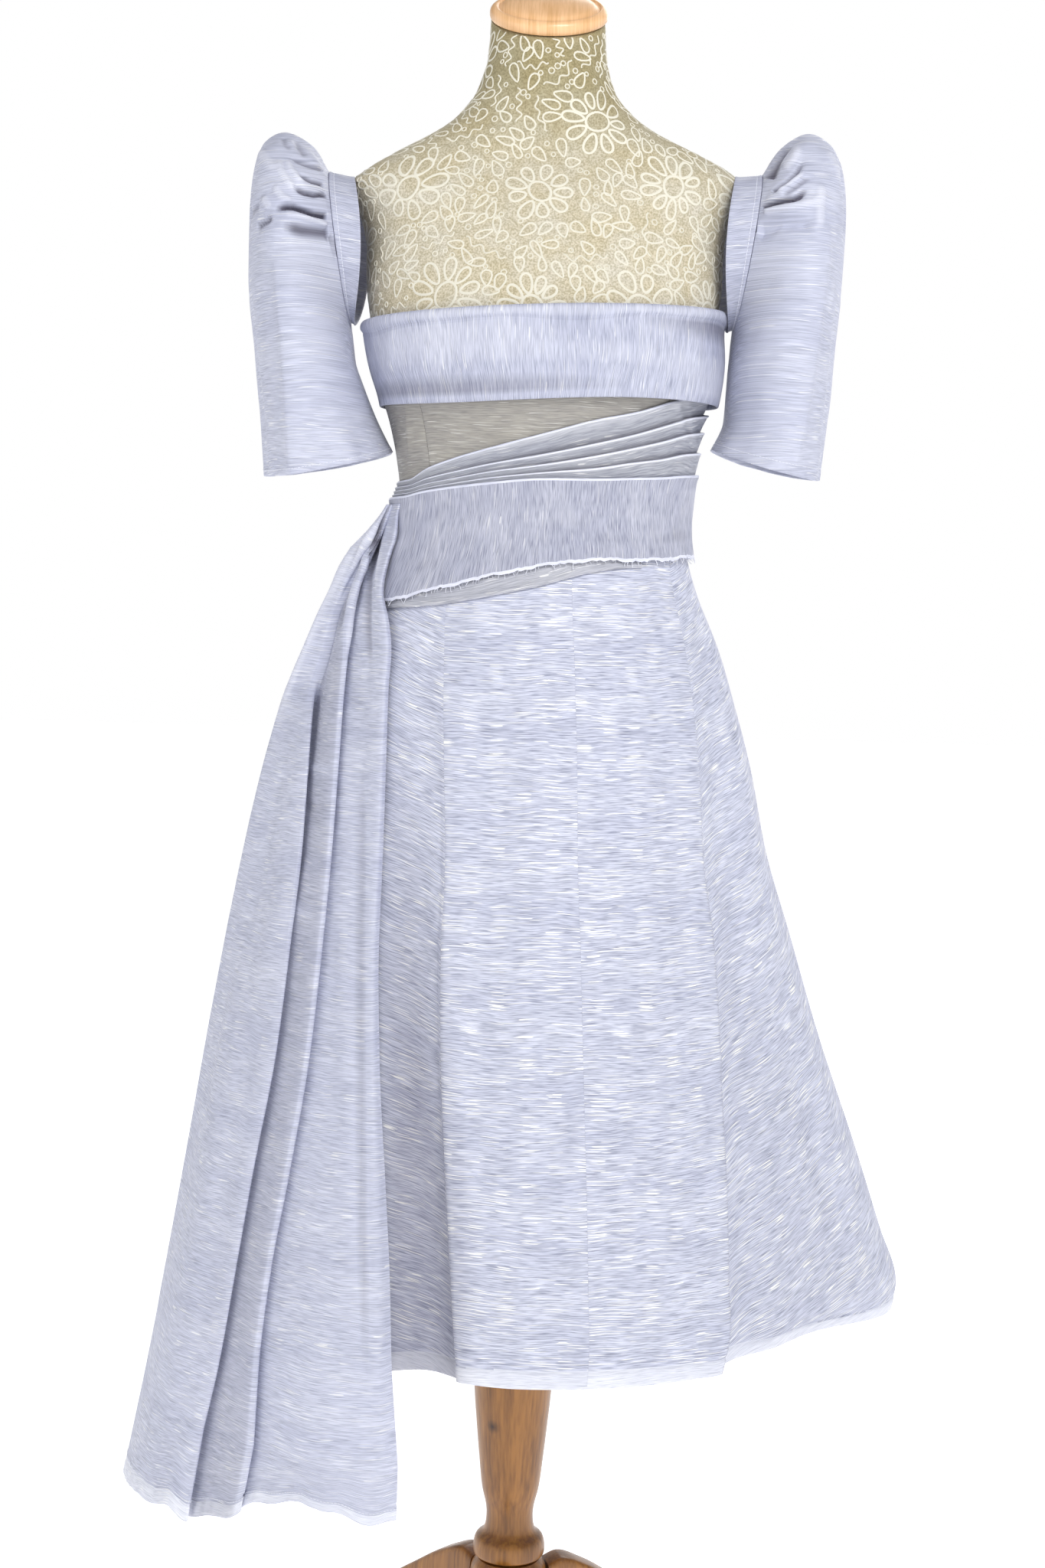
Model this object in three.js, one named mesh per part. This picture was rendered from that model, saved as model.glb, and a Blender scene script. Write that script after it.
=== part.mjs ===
// Filipiniana dress worn on a limbless dress form on a three-legged stand.
// Millimetres, +Z up, floor at z = 0, the pole's axis at x = 0, y = 0, the front faces -Y.
import * as THREE from 'three';

// Driving sizes
const CLOTH = 1.8;
const SEAM_GAP = 0.3;
const REST_GAP = 0.6;
const BODICE_WALL = 1.6;
const WAIST_Z = 1168;
const HEM_Z = 434;
const BODICE_TOP_Z = 1336;
const BAND_TOP_Z = 1351;
const BAND_BOTTOM_Z = 1271;
const BAND_TILT = 8;
const FORM_STEPS = 36;
const FORM_BOTTOM_Z = 900;
const SHOULDER_TILT = 0.02;
const NECK_TILT = 29;
const HUB_TOP_Z = 166;
const HUB_RADIUS = 37;
const LEG_REACH = 285;
const DEG = Math.PI / 180;

// Dress form, a row per level: half width, depth to the front, depth to the back,
// shift to the right and forward tilt
const FORM_ROWS = [
  { z: 900, w: 140, f: 102, b: 108, shift: 0, tilt: 0 },
  { z: 910, w: 150, f: 112, b: 118, shift: 0, tilt: 0 },
  { z: 955, w: 166, f: 121, b: 127, shift: 0, tilt: 0 },
  { z: 1010, w: 171, f: 122, b: 129, shift: 0, tilt: 0 },
  { z: 1050, w: 166, f: 117, b: 123, shift: 0.5, tilt: 0 },
  { z: 1098, w: 149, f: 105, b: 110, shift: 1.5, tilt: 0 },
  { z: 1140, w: 134, f: 95, b: 97, shift: 3, tilt: 0 },
  { z: 1168, w: 130.5, f: 91, b: 89, shift: 3.5, tilt: 0 },
  { z: 1190, w: 129.5, f: 90, b: 87, shift: 4, tilt: 0 },
  { z: 1220, w: 133, f: 93, b: 89, shift: 4, tilt: 0 },
  { z: 1250, w: 139.5, f: 99, b: 94, shift: 4, tilt: 0 },
  { z: 1280, w: 148.5, f: 108, b: 99, shift: 4, tilt: 0 },
  { z: 1315, w: 156, f: 115, b: 105, shift: 3, tilt: 0 },
  { z: 1345, w: 159.5, f: 115, b: 109, shift: 2, tilt: 0 },
  { z: 1380, w: 164, f: 106, b: 109, shift: 2, tilt: 0 },
  { z: 1415, w: 165, f: 94, b: 105, shift: 2, tilt: 0 },
  { z: 1440, w: 170, f: 83, b: 97, shift: 2, tilt: 0 },
  { z: 1460, w: 178, f: 73, b: 87, shift: 1.5, tilt: 0 },
  { z: 1473, w: 181, f: 65, b: 79, shift: 1.5, tilt: 0 },
  { z: 1484, w: 170, f: 60, b: 73, shift: 1.5, tilt: 0 },
  { z: 1499, w: 144, f: 57, b: 69, shift: 1.5, tilt: 0 },
  { z: 1523, w: 97, f: 55, b: 63, shift: 1, tilt: 0 },
  { z: 1537, w: 79, f: 54, b: 60, shift: 0.5, tilt: 0 },
  { z: 1558, w: 63, f: 53, b: 56, shift: -0.5, tilt: 1 },
  { z: 1591, w: 54, f: 52.5, b: 53, shift: -0.5, tilt: 13 },
  { z: 1622, w: 52, f: 52.5, b: 52.5, shift: -0.5, tilt: 29 },
];

// Skirt, a row per level: half width left and right, depth to the front and back, shift
const SKIRT_ROWS = [
  { z: 1148, wl: 136, wr: 136.5, f: 97, b: 97, shift: 3 },
  { z: 1127, wl: 142, wr: 142, f: 103, b: 104, shift: 2 },
  { z: 1098, wl: 153, wr: 153, f: 113, b: 116, shift: 1 },
  { z: 1070, wl: 164, wr: 167, f: 122, b: 127, shift: 0 },
  { z: 1042, wl: 172, wr: 179, f: 131, b: 138, shift: 0 },
  { z: 1010, wl: 182, wr: 190, f: 140, b: 149, shift: 0 },
  { z: 940, wl: 201, wr: 212, f: 160, b: 170, shift: 0 },
  { z: 860, wl: 218, wr: 231, f: 180, b: 192, shift: 0 },
  { z: 790, wl: 238, wr: 254.5, f: 199, b: 212, shift: 0 },
  { z: 690, wl: 266, wr: 287, f: 229, b: 240, shift: 0 },
  { z: 585, wl: 289, wr: 325, f: 257, b: 267.5, shift: 0 },
  { z: 510, wl: 306, wr: 350, f: 272, b: 283, shift: 0 },
  { z: 461, wl: 317, wr: 366, f: 282, b: 292, shift: 0 },
  { z: HEM_Z, wl: 321, wr: 361, f: 288, b: 296, shift: 0 },
];

// Folds that grow towards the hem: azimuth at the waist and at the hem, depth at the hem, width
const SKIRT_FOLDS = [
  { top: -46, hem: -15, depth: -34, width: 8 },
  { top: 72, hem: 34.5, depth: -16, width: 6 },
  { top: 60, hem: 51, depth: -34, width: 17 },
  { top: 100, hem: 96, depth: -16, width: 10 },
  { top: 128, hem: 122, depth: 12, width: 12 },
  { top: 150, hem: 146, depth: -20, width: 9 },
  { top: 172, hem: 170, depth: 8, width: 12 },
  { top: 200, hem: 203, depth: -22, width: 10 },
  { top: 224, hem: 226, depth: 11, width: 12 },
  { top: 246, hem: 248, depth: -14, width: 9 },
  { top: -66, hem: -52, depth: -9, width: 12 },
];

// Seams of the skirt: azimuth at the waist, half way and at the hem
const SKIRT_SEAMS = {
  left: { waist: -36, middle: -18, hem: -7.8 },
  centre: { waist: 13, middle: 11, hem: 9.8 },
  right: { waist: 62, middle: 43, hem: 29 },
  right_side: { waist: 108, middle: 108, hem: 108 },
  back: { waist: 180, middle: 180, hem: 180 },
  left_side: { waist: 252, middle: 252, hem: 252 },
};
const SKIRT_PANELS = [
  { name: 'skirt_front_centre_left', from: 'left', to: 'centre', turn: 0, steps: 6 },
  { name: 'skirt_front_centre_right', from: 'centre', to: 'right', turn: 0, steps: 6 },
  { name: 'skirt_side_right', from: 'right', to: 'right_side', turn: 0, steps: 12 },
  { name: 'skirt_back_right', from: 'right_side', to: 'back', turn: 0, steps: 9 },
  { name: 'skirt_back_left', from: 'back', to: 'left_side', turn: 0, steps: 10 },
  { name: 'skirt_side_left', from: 'left_side', to: 'left', turn: 360, steps: 12 },
];

// Bodice panels between their seams, by azimuth
const BODICE_PANELS = [
  { name: 'bodice_front', from: -50, to: 50 },
  { name: 'bodice_side_right', from: 50, to: 120 },
  { name: 'bodice_back', from: 120, to: 240 },
  { name: 'bodice_side_left', from: 240, to: 310 },
];

// Heights of the wrap's folded edges and lower edges by azimuth; the back repeats the front
const WRAP_ROWS = [
  { az: -90, p1: 1197, p2: 1192.5, p3: 1189, p4: 1185.5, p5: 1182, fray: 1086, under: 1083 },
  { az: -65, p1: 1199, p2: 1193.5, p3: 1190, p4: 1186.5, p5: 1183, fray: 1086, under: 1082 },
  { az: -50, p1: 1209, p2: 1200, p3: 1195, p4: 1191, p5: 1187.5, fray: 1091, under: 1083 },
  { az: -35, p1: 1218, p2: 1206, p3: 1200, p4: 1195.5, p5: 1191.5, fray: 1100, under: 1086 },
  { az: -20, p1: 1227, p2: 1213, p3: 1206, p4: 1200.5, p5: 1195.5, fray: 1110, under: 1093 },
  { az: 0, p1: 1240, p2: 1222, p3: 1213, p4: 1206, p5: 1200, fray: 1122, under: 1105 },
  { az: 20, p1: 1254, p2: 1233, p3: 1222, p4: 1211, p5: 1201, fray: 1129, under: 1119 },
  { az: 35, p1: 1262, p2: 1242, p3: 1230, p4: 1217, p5: 1203, fray: 1130, under: 1124 },
  { az: 50, p1: 1273, p2: 1252, p3: 1238, p4: 1222, p5: 1205, fray: 1131, under: 1125 },
  { az: 65, p1: 1280, p2: 1261, p3: 1246, p4: 1228, p5: 1208, fray: 1134, under: 1127 },
  { az: 90, p1: 1285, p2: 1267, p3: 1251, p4: 1232, p5: 1211, fray: 1136, under: 1129 },
];
const WRAP_STEPS = 36;
const UNDER_LAYER_RANGE = { from: -63, to: 41 };
const UNDER_LAYER_HEIGHT = 42;
const UNDER_LAYER_OUT = 2.2;

// Sash, a row per level: outline left and right, edges of the two upper folds, lift off the skirt
const SASH_ROWS = [
  { z: 1176, left: -143, edge1: -140, edge2: -136, right: -128, lift: 10.8, pile: 0.4 },
  { z: 1168, left: -148, edge1: -144, edge2: -139, right: -130, lift: 11.4, pile: 0.45 },
  { z: 1148, left: -162, edge1: -154, edge2: -146, right: -131, lift: 11.5, pile: 0.6 },
  { z: 1127, left: -177, edge1: -165, edge2: -154, right: -136, lift: 11, pile: 0.7 },
  { z: 1098, left: -190, edge1: -177, edge2: -163, right: -140, lift: 9.5, pile: 0.8 },
  { z: 1070, left: -202, edge1: -189, edge2: -168, right: -133, lift: 8.5, pile: 0.9 },
  { z: 1042, left: -213, edge1: -198, edge2: -170, right: -130, lift: 3.6, pile: 1 },
  { z: 1010, left: -225, edge1: -203, edge2: -172, right: -132, lift: 3.6, pile: 1 },
  { z: 940, left: -246, edge1: -205, edge2: -175, right: -133, lift: 3.6, pile: 1 },
  { z: 860, left: -264, edge1: -208, edge2: -178, right: -134, lift: 3.6, pile: 1 },
  { z: 790, left: -276, edge1: -214, edge2: -182, right: -135, lift: 3.6, pile: 1 },
  { z: 690, left: -293, edge1: -223, edge2: -189, right: -131, lift: 3.6, pile: 1 },
  { z: 585, left: -309, edge1: -241, edge2: -204, right: -122, lift: 3.6, pile: 1 },
  { z: 510, left: -322, edge1: -253, edge2: -217, right: -116, lift: 3.6, pile: 1 },
  { z: 434, left: -336, edge1: -265, edge2: -225, right: -112, lift: 3.6, pile: 1 },
  { z: 350, left: -352, edge1: -283, edge2: -230, right: -106, lift: 3.6, pile: 1 },
];
const SASH_HEM = [
  { x: -371, z: 232 },
  { x: -343, z: 257 },
  { x: -312, z: 266 },
  { x: -294, z: 271 },
  { x: -279, z: 265 },
  { x: -255, z: 274 },
  { x: -244, z: 280 },
  { x: -228, z: 290 },
  { x: -210, z: 302 },
  { x: -173, z: 314 },
  { x: -142, z: 309 },
  { x: -120, z: 303 },
  { x: -94, z: 302 },
];
// The hem spreads to the left of its right corner
const HEM_SPREAD = 0.075;
const HEM_RIGHT_X = -94;

// Sleeve rings from the cuff to the armhole: outermost point, innermost point, half depth, pleats
const SLEEVE_RINGS_RIGHT = [
  { ox: 262, oz: 1211, ix: 163, iz: 1236, depth: 84, pleat: 0.5 },
  { ox: 267, oz: 1262, ix: 173.5, iz: 1262, depth: 90, pleat: 1 },
  { ox: 271.5, oz: 1330, ix: 175, iz: 1288, depth: 94, pleat: 2.2 },
  { ox: 276, oz: 1395, ix: 176, iz: 1308, depth: 95, pleat: 4 },
  { ox: 277.6, oz: 1450, ix: 177, iz: 1322, depth: 92, pleat: 5.5 },
  { ox: 273, oz: 1493, ix: 177.5, iz: 1331, depth: 87, pleat: 6 },
  { ox: 260, oz: 1516, ix: 178, iz: 1337, depth: 81, pleat: 5.5 },
  { ox: 242, oz: 1524, ix: 178.5, iz: 1341, depth: 75, pleat: 4.5 },
  { ox: 219, oz: 1512, ix: 179, iz: 1344.4, depth: 67, pleat: 3.2 },
  { ox: 200.5, oz: 1486.5, ix: 179.8, iz: 1347, depth: 60, pleat: 1.2 },
];
const SLEEVE_RINGS_LEFT = [
  { ox: 252, oz: 1202, ix: 136, iz: 1226, depth: 84, pleat: 0.5 },
  { ox: 257, oz: 1252, ix: 152, iz: 1257, depth: 90, pleat: 1 },
  { ox: 264, oz: 1318, ix: 164.5, iz: 1286, depth: 94, pleat: 2.2 },
  { ox: 270.5, oz: 1385, ix: 172.5, iz: 1308, depth: 95, pleat: 4 },
  { ox: 270.5, oz: 1438, ix: 174.5, iz: 1322, depth: 92, pleat: 5.5 },
  { ox: 267, oz: 1480, ix: 175.5, iz: 1330, depth: 87, pleat: 6 },
  { ox: 257, oz: 1505, ix: 176.3, iz: 1335, depth: 81, pleat: 5.5 },
  { ox: 240, oz: 1513, ix: 177, iz: 1339, depth: 75, pleat: 4.5 },
  { ox: 216, oz: 1502, ix: 177.7, iz: 1342.6, depth: 67, pleat: 3.2 },
  { ox: 199.5, oz: 1479.5, ix: 178.4, iz: 1345, depth: 60, pleat: 1.2 },
];
const BINDING_RIGHT = { ox: 176, oz: 1484.4, ix: 173.6, iz: 1345.5, depth: 58, sweep: 9 };
const BINDING_LEFT = { ox: 176, oz: 1475.3, ix: 173.2, iz: 1343.5, depth: 58, sweep: 9 };
const SLEEVE_STEPS = 36;
const SLEEVE_SHIFT_Y = 3;
const SLEEVE_WALL = 1.6;

// Turned pole from its foot to the form, and the turned ring above the legs
const POLE_PROFILE = [
  { r: 20, z: HUB_TOP_Z + SEAM_GAP },
  { r: 33, z: HUB_TOP_Z + 4 },
  { r: 34.5, z: 176 },
  { r: 32.5, z: 187 },
  { r: 25, z: 194 },
  { r: 22.5, z: 207 },
  { r: 23.4, z: 219 },
  { r: 27.4, z: 236 },
  { r: 31, z: 267 },
  { r: 34, z: 297 },
  { r: 36.8, z: 328 },
  { r: 38, z: 352 },
  { r: 34, z: 376 },
  { r: 20, z: 392 },
  { r: 16, z: 420 },
  { r: 16, z: FORM_BOTTOM_Z - SEAM_GAP },
];
const HUB_PROFILE = [
  { r: 30, z: 62 },
  { r: 34, z: 66 },
  { r: HUB_RADIUS, z: 76 },
  { r: HUB_RADIUS, z: 150 },
  { r: 35, z: 160 },
  { r: 30, z: HUB_TOP_Z },
];
const CAP_PROFILE = [
  { r: 47, z: 0 },
  { r: 53, z: 1.5 },
  { r: 54.5, z: 6 },
  { r: 53, z: 10.5 },
  { r: 48, z: 13 },
  { r: 46.5, z: 11.6 },
  { r: 44.5, z: 12.2 },
  { r: 40, z: 15 },
  { r: 20, z: 18.5 },
];

// Leg, a row per station outwards: distance from the axis, lower and upper face, half width
const LEG_ROWS = [
  { r: HUB_RADIUS + SEAM_GAP, low: 84, high: 158, half: 15 },
  { r: 52, low: 88, high: 163, half: 15 },
  { r: 78, low: 90, high: 153, half: 14.5 },
  { r: 120, low: 72, high: 126, half: 14 },
  { r: 170, low: 44, high: 92, half: 13.5 },
  { r: 220, low: 18, high: 60, half: 13.5 },
  { r: 248, low: 0, high: 42, half: 14 },
  { r: 275, low: 0, high: 32, half: 14 },
  { r: LEG_REACH, low: 0, high: 24, half: 11 },
];
const LEG_AZIMUTHS = [-12, 108, 228];

// Colours
const CLOTH_WHITE = 0xdcdde6;
const BAND_WHITE = 0xe3e3ea;
const FORM_CREAM = 0xe2d9c8;
const CAP_WOOD = 0xd8a878;
const POLE_WOOD = 0xb58354;

const part = new THREE.Group();
part.name = 'filipiniana_dress';

// Rows are joined by straight lines between their levels
function rowAt(rows, key, value) {
  const up = rows[rows.length - 1][key] > rows[0][key];
  let i = 0;
  while (i < rows.length - 2 && (up ? rows[i + 1][key] < value : rows[i + 1][key] > value)) {
    i += 1;
  }
  const a = rows[i];
  const b = rows[i + 1];
  const share = Math.min(1, Math.max(0, (value - a[key]) / (b[key] - a[key])));
  const out = {};
  for (const name of Object.keys(a)) {
    out[name] = a[name] + (b[name] - a[name]) * share;
  }
  return out;
}

// A soft section: azimuth runs from the front (0) to the right side (90)
function sectionPoint(azimuth, wl, wr, f, b) {
  const s = Math.sin(azimuth * DEG);
  const c = Math.cos(azimuth * DEG);
  const w = s < 0 ? wl : wr;
  return [w * s, c > 0 ? -f * c : -b * c];
}

// Outward direction of a section, level with the floor
function sectionNormal(azimuth, wl, wr, f, b) {
  const p = sectionPoint(azimuth - 0.5, wl, wr, f, b);
  const q = sectionPoint(azimuth + 0.5, wl, wr, f, b);
  const dx = q[0] - p[0];
  const dy = q[1] - p[1];
  const length = Math.hypot(dx, dy);
  return [dy / length, -dx / length];
}

function shoulderLift(z) {
  const rise = Math.min(1, Math.max(0, (z - 1380) / 70));
  const fade = Math.min(1, Math.max(0, (1550 - z) / 60));
  return SHOULDER_TILT * rise * fade;
}

function formPoint(azimuth, z, offset) {
  const row = rowAt(FORM_ROWS, 'z', z);
  const p = sectionPoint(azimuth, row.w, row.w, row.f, row.b);
  const n = sectionNormal(azimuth, row.w, row.w, row.f, row.b);
  const tilt = row.tilt * DEG;
  const y = p[1] + n[1] * offset;
  const x = p[0] + n[0] * offset + row.shift;
  return [x, y * Math.cos(tilt), z + y * Math.sin(tilt) + x * shoulderLift(z)];
}

function bump(distance) {
  return Math.exp(-distance * distance);
}

function wrapAngle(angle) {
  return ((angle + 180) % 360 + 360) % 360 - 180;
}

// Sum of the skirt's folds at a place; zero at the waist
function skirtWave(azimuth, z) {
  const drop = Math.min(1, Math.max(0, (1120 - z) / (1120 - HEM_Z)));
  let total = 0;
  for (const fold of SKIRT_FOLDS) {
    const middle = fold.hem + (fold.top - fold.hem) * Math.pow(1 - drop, 1.4);
    const reach = fold.width * (1 + 0.8 * (1 - drop));
    total += fold.depth * Math.pow(drop, 1.15) * bump(wrapAngle(azimuth - middle) / reach);
  }
  return total;
}

// Outer face of the skirt, moved out by an offset
function skirtPoint(azimuth, z, offset) {
  let row;
  if (z > SKIRT_ROWS[0].z) {
    const form = rowAt(FORM_ROWS, 'z', WAIST_Z);
    const out = REST_GAP + BODICE_WALL + 0.2;
    const wide = form.w + out;
    const waist = { z: WAIST_Z, wl: wide, wr: wide, f: form.f + out, b: form.b + out, shift: form.shift };
    row = rowAt([waist, SKIRT_ROWS[0]], 'z', z);
  } else {
    row = rowAt(SKIRT_ROWS, 'z', z);
  }
  const p = sectionPoint(azimuth, row.wl, row.wr, row.f, row.b);
  const n = sectionNormal(azimuth, row.wl, row.wr, row.f, row.b);
  const out = offset + skirtWave(azimuth, z);
  return [p[0] + n[0] * out + row.shift, p[1] + n[1] * out, z];
}

// The dressed body under the wrap: bodice above the waist, skirt below it
function bodyPoint(azimuth, z, offset) {
  if (z >= WAIST_Z) {
    return formPoint(azimuth, z, offset + REST_GAP + BODICE_WALL + 0.2);
  }
  return skirtPoint(azimuth, z, offset);
}

// Builds one mesh from patches of points; every patch is a grid with its own smooth shading
function meshFromPatches(name, patches, colour, roughness) {
  const positions = [];
  const index = [];
  for (const patch of patches) {
    const base = positions.length / 3;
    const wide = patch.grid[0].length;
    for (const line of patch.grid) {
      for (const p of line) {
        positions.push(p[0], p[1], p[2]);
      }
    }
    const across = patch.closed ? wide : wide - 1;
    for (let i = 0; i < patch.grid.length - 1; i += 1) {
      for (let j = 0; j < across; j += 1) {
        const a = base + i * wide + j;
        const b = base + i * wide + (j + 1) % wide;
        const c = a + wide;
        const d = b + wide;
        if (patch.flip) {
          index.push(a, b, c, b, d, c);
        } else {
          index.push(a, c, b, b, c, d);
        }
      }
    }
  }
  const kept = [];
  for (let i = 0; i < index.length; i += 3) {
    const [a, b, c] = [index[i], index[i + 1], index[i + 2]];
    if (!samePoint(positions, a, b) && !samePoint(positions, b, c) && !samePoint(positions, a, c)) {
      kept.push(a, b, c);
    }
  }
  if (signedVolume(positions, kept) < 0) {
    for (let i = 0; i < kept.length; i += 3) {
      const swap = kept[i + 1];
      kept[i + 1] = kept[i + 2];
      kept[i + 2] = swap;
    }
  }
  const geometry = new THREE.BufferGeometry();
  geometry.setAttribute('position', new THREE.Float32BufferAttribute(positions, 3));
  geometry.setIndex(kept);
  geometry.computeVertexNormals();
  const material = new THREE.MeshStandardMaterial({ color: colour, roughness, metalness: 0 });
  const mesh = new THREE.Mesh(geometry, material);
  mesh.name = name;
  part.add(mesh);
  return mesh;
}

function samePoint(positions, a, b) {
  const dx = positions[3 * a] - positions[3 * b];
  const dy = positions[3 * a + 1] - positions[3 * b + 1];
  const dz = positions[3 * a + 2] - positions[3 * b + 2];
  return dx * dx + dy * dy + dz * dz < 1e-8;
}

function signedVolume(positions, index) {
  let total = 0;
  for (let i = 0; i < index.length; i += 3) {
    const a = new THREE.Vector3().fromArray(positions, 3 * index[i]);
    const b = new THREE.Vector3().fromArray(positions, 3 * index[i + 1]);
    const c = new THREE.Vector3().fromArray(positions, 3 * index[i + 2]);
    total += a.dot(b.cross(c));
  }
  return total;
}

// A cloth wall between an outer and an inner grid of points, closed along all its edges
function clothWall(name, outer, inner, closed, colour, roughness = 0.75) {
  const last = outer.length - 1;
  const patches = [
    { grid: outer, closed },
    { grid: inner, closed, flip: true },
    { grid: [outer[0], inner[0]], closed, flip: true },
    { grid: [outer[last], inner[last]], closed },
  ];
  if (!closed) {
    const end = outer[0].length - 1;
    patches.push({ grid: [outer.map((line) => line[0]), inner.map((line) => line[0])] });
    patches.push({
      grid: [outer.map((line) => line[end]), inner.map((line) => line[end])],
      flip: true,
    });
  }
  return meshFromPatches(name, patches, colour, roughness);
}

// A solid through closed rings, with a flat fan on its first and last ring
function solidThroughRings(name, rings, colour, roughness) {
  const patches = [{ grid: rings, closed: true }];
  for (const [ring, flip] of [[rings[0], true], [rings[rings.length - 1], false]]) {
    const middle = [0, 0, 0];
    for (const p of ring) {
      middle[0] += p[0] / ring.length;
      middle[1] += p[1] / ring.length;
      middle[2] += p[2] / ring.length;
    }
    patches.push({ grid: [ring, ring.map(() => middle)], closed: true, flip });
  }
  return meshFromPatches(name, patches, colour, roughness);
}

// A turned solid from a profile of radii, on an axis that can lean forward
function turned(name, profile, steps, colour, roughness, place = (x, y, z) => [x, y, z]) {
  const rings = profile.map((row) => {
    const ring = [];
    for (let i = 0; i < steps; i += 1) {
      const a = (i / steps) * 2 * Math.PI;
      ring.push(place(row.r * Math.sin(a), -row.r * Math.cos(a), row.z));
    }
    return ring;
  });
  return solidThroughRings(name, rings, colour, roughness);
}

// Dress form
function buildForm() {
  const rings = FORM_ROWS.map((row) => {
    const ring = [];
    for (let i = 0; i < FORM_STEPS; i += 1) {
      ring.push(formPoint((i * 360) / FORM_STEPS, row.z, 0));
    }
    return ring;
  });
  solidThroughRings('form_torso', rings, FORM_CREAM, 0.85);
  const top = FORM_ROWS[FORM_ROWS.length - 1].z;
  const lean = NECK_TILT * DEG;
  const place = (x, y, z) => {
    const up = z + SEAM_GAP;
    return [x, y * Math.cos(lean) - up * Math.sin(lean), top + y * Math.sin(lean) + up * Math.cos(lean)];
  };
  turned('neck_cap', CAP_PROFILE, 24, CAP_WOOD, 0.5, place);
}

// Stand
function buildStand() {
  turned('stand_pole', POLE_PROFILE, 20, POLE_WOOD, 0.45);
  turned('stand_hub', HUB_PROFILE, 20, POLE_WOOD, 0.45);
  LEG_AZIMUTHS.forEach((azimuth, number) => {
    const c = Math.cos(azimuth * DEG);
    const s = Math.sin(azimuth * DEG);
    const rings = LEG_ROWS.map((row) => {
      const edge = 4;
      const ring = [
        [-row.half + edge, row.low],
        [row.half - edge, row.low],
        [row.half, row.low + edge],
        [row.half, row.high - edge],
        [row.half - edge, row.high],
        [-row.half + edge, row.high],
        [-row.half, row.high - edge],
        [-row.half, row.low + edge],
      ];
      return ring.map(([side, z]) => [s * row.r + c * side, -c * row.r + s * side, z]);
    });
    solidThroughRings(`stand_leg_${number + 1}`, rings, POLE_WOOD, 0.45);
  });
}

// Columns of azimuths between two seams; the body's own columns are kept in between
function panelColumns(from, to, radius) {
  const trim = (SEAM_GAP / 2 / radius) / DEG;
  const step = 360 / FORM_STEPS;
  const columns = [from + trim];
  for (let k = Math.ceil((from + 2) / step); k * step < to - 2; k += 1) {
    columns.push(k * step);
  }
  columns.push(to - trim);
  return columns;
}

// Bodice in four panels, resting on the form
function buildBodice() {
  const levels = FORM_ROWS.map((row) => row.z).filter((z) => z > WAIST_Z + 5 && z < BODICE_TOP_Z - 5);
  const rows = [BODICE_TOP_Z, ...levels.reverse(), WAIST_Z + SEAM_GAP];
  for (const panel of BODICE_PANELS) {
    const columns = panelColumns(panel.from, panel.to, 110);
    const outer = rows.map((z) => columns.map((az) => formPoint(az, z, REST_GAP + BODICE_WALL)));
    const inner = rows.map((z) => columns.map((az) => formPoint(az, z, REST_GAP)));
    clothWall(panel.name, outer, inner, false, CLOTH_WHITE);
  }
}

// How far the right side of band and wrap stands off the body
function standOff(azimuth) {
  return bump(wrapAngle(azimuth - 86) / 46);
}

// Top band: a folded wall that starts behind, rolls over the bodice's edge and hangs in front
function buildBand() {
  const half = CLOTH / 2;
  const outer = [];
  const inner = [];
  const start = REST_GAP + BODICE_WALL + 0.8 + half;
  const columns = [];
  for (let i = 0; i < FORM_STEPS; i += 1) {
    columns.push((i * 360) / FORM_STEPS);
  }
  const paths = columns.map((azimuth) => {
    const tilt = BAND_TILT * Math.sin(azimuth * DEG);
    const top = BAND_TOP_Z + tilt;
    const low = BAND_BOTTOM_Z + 0.6 * tilt + 1.5 * Math.sin(3 * azimuth * DEG);
    const off = 6.4 + 1.2 * Math.sin(2 * azimuth * DEG) + 8.5 * standOff(azimuth);
    return [
      [start, top - 30],
      [start + 0.6, top - 4],
      [start + 2.9, top - 0.6],
      [start + 5.2, top - 3],
      [start + 5.6, top - 8],
      [start + 4.4, top - 14],
      [0.5 * (start + 4.4 + off), top - 44],
      [off, low],
    ];
  });
  for (let k = 0; k < paths[0].length; k += 1) {
    const out = [];
    const ins = [];
    columns.forEach((azimuth, i) => {
      const path = paths[i];
      const a = path[Math.max(0, k - 1)];
      const b = path[Math.min(path.length - 1, k + 1)];
      const length = Math.hypot(b[0] - a[0], b[1] - a[1]);
      const side = [-(b[1] - a[1]) / length, (b[0] - a[0]) / length];
      const p = path[k];
      out.push(formPoint(azimuth, p[1] + side[1] * half, p[0] + side[0] * half));
      ins.push(formPoint(azimuth, p[1] - side[1] * half, p[0] - side[0] * half));
    });
    outer.push(out);
    inner.push(ins);
  }
  clothWall('top_band', outer, inner, true, BAND_WHITE);
}

// Wrap edges by azimuth; the back repeats the front's heights
function wrapRow(azimuth) {
  const a = wrapAngle(azimuth);
  const front = Math.abs(a) <= 90 ? a : Math.sign(a) * 180 - a;
  return rowAt(WRAP_ROWS, 'az', front);
}

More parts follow.
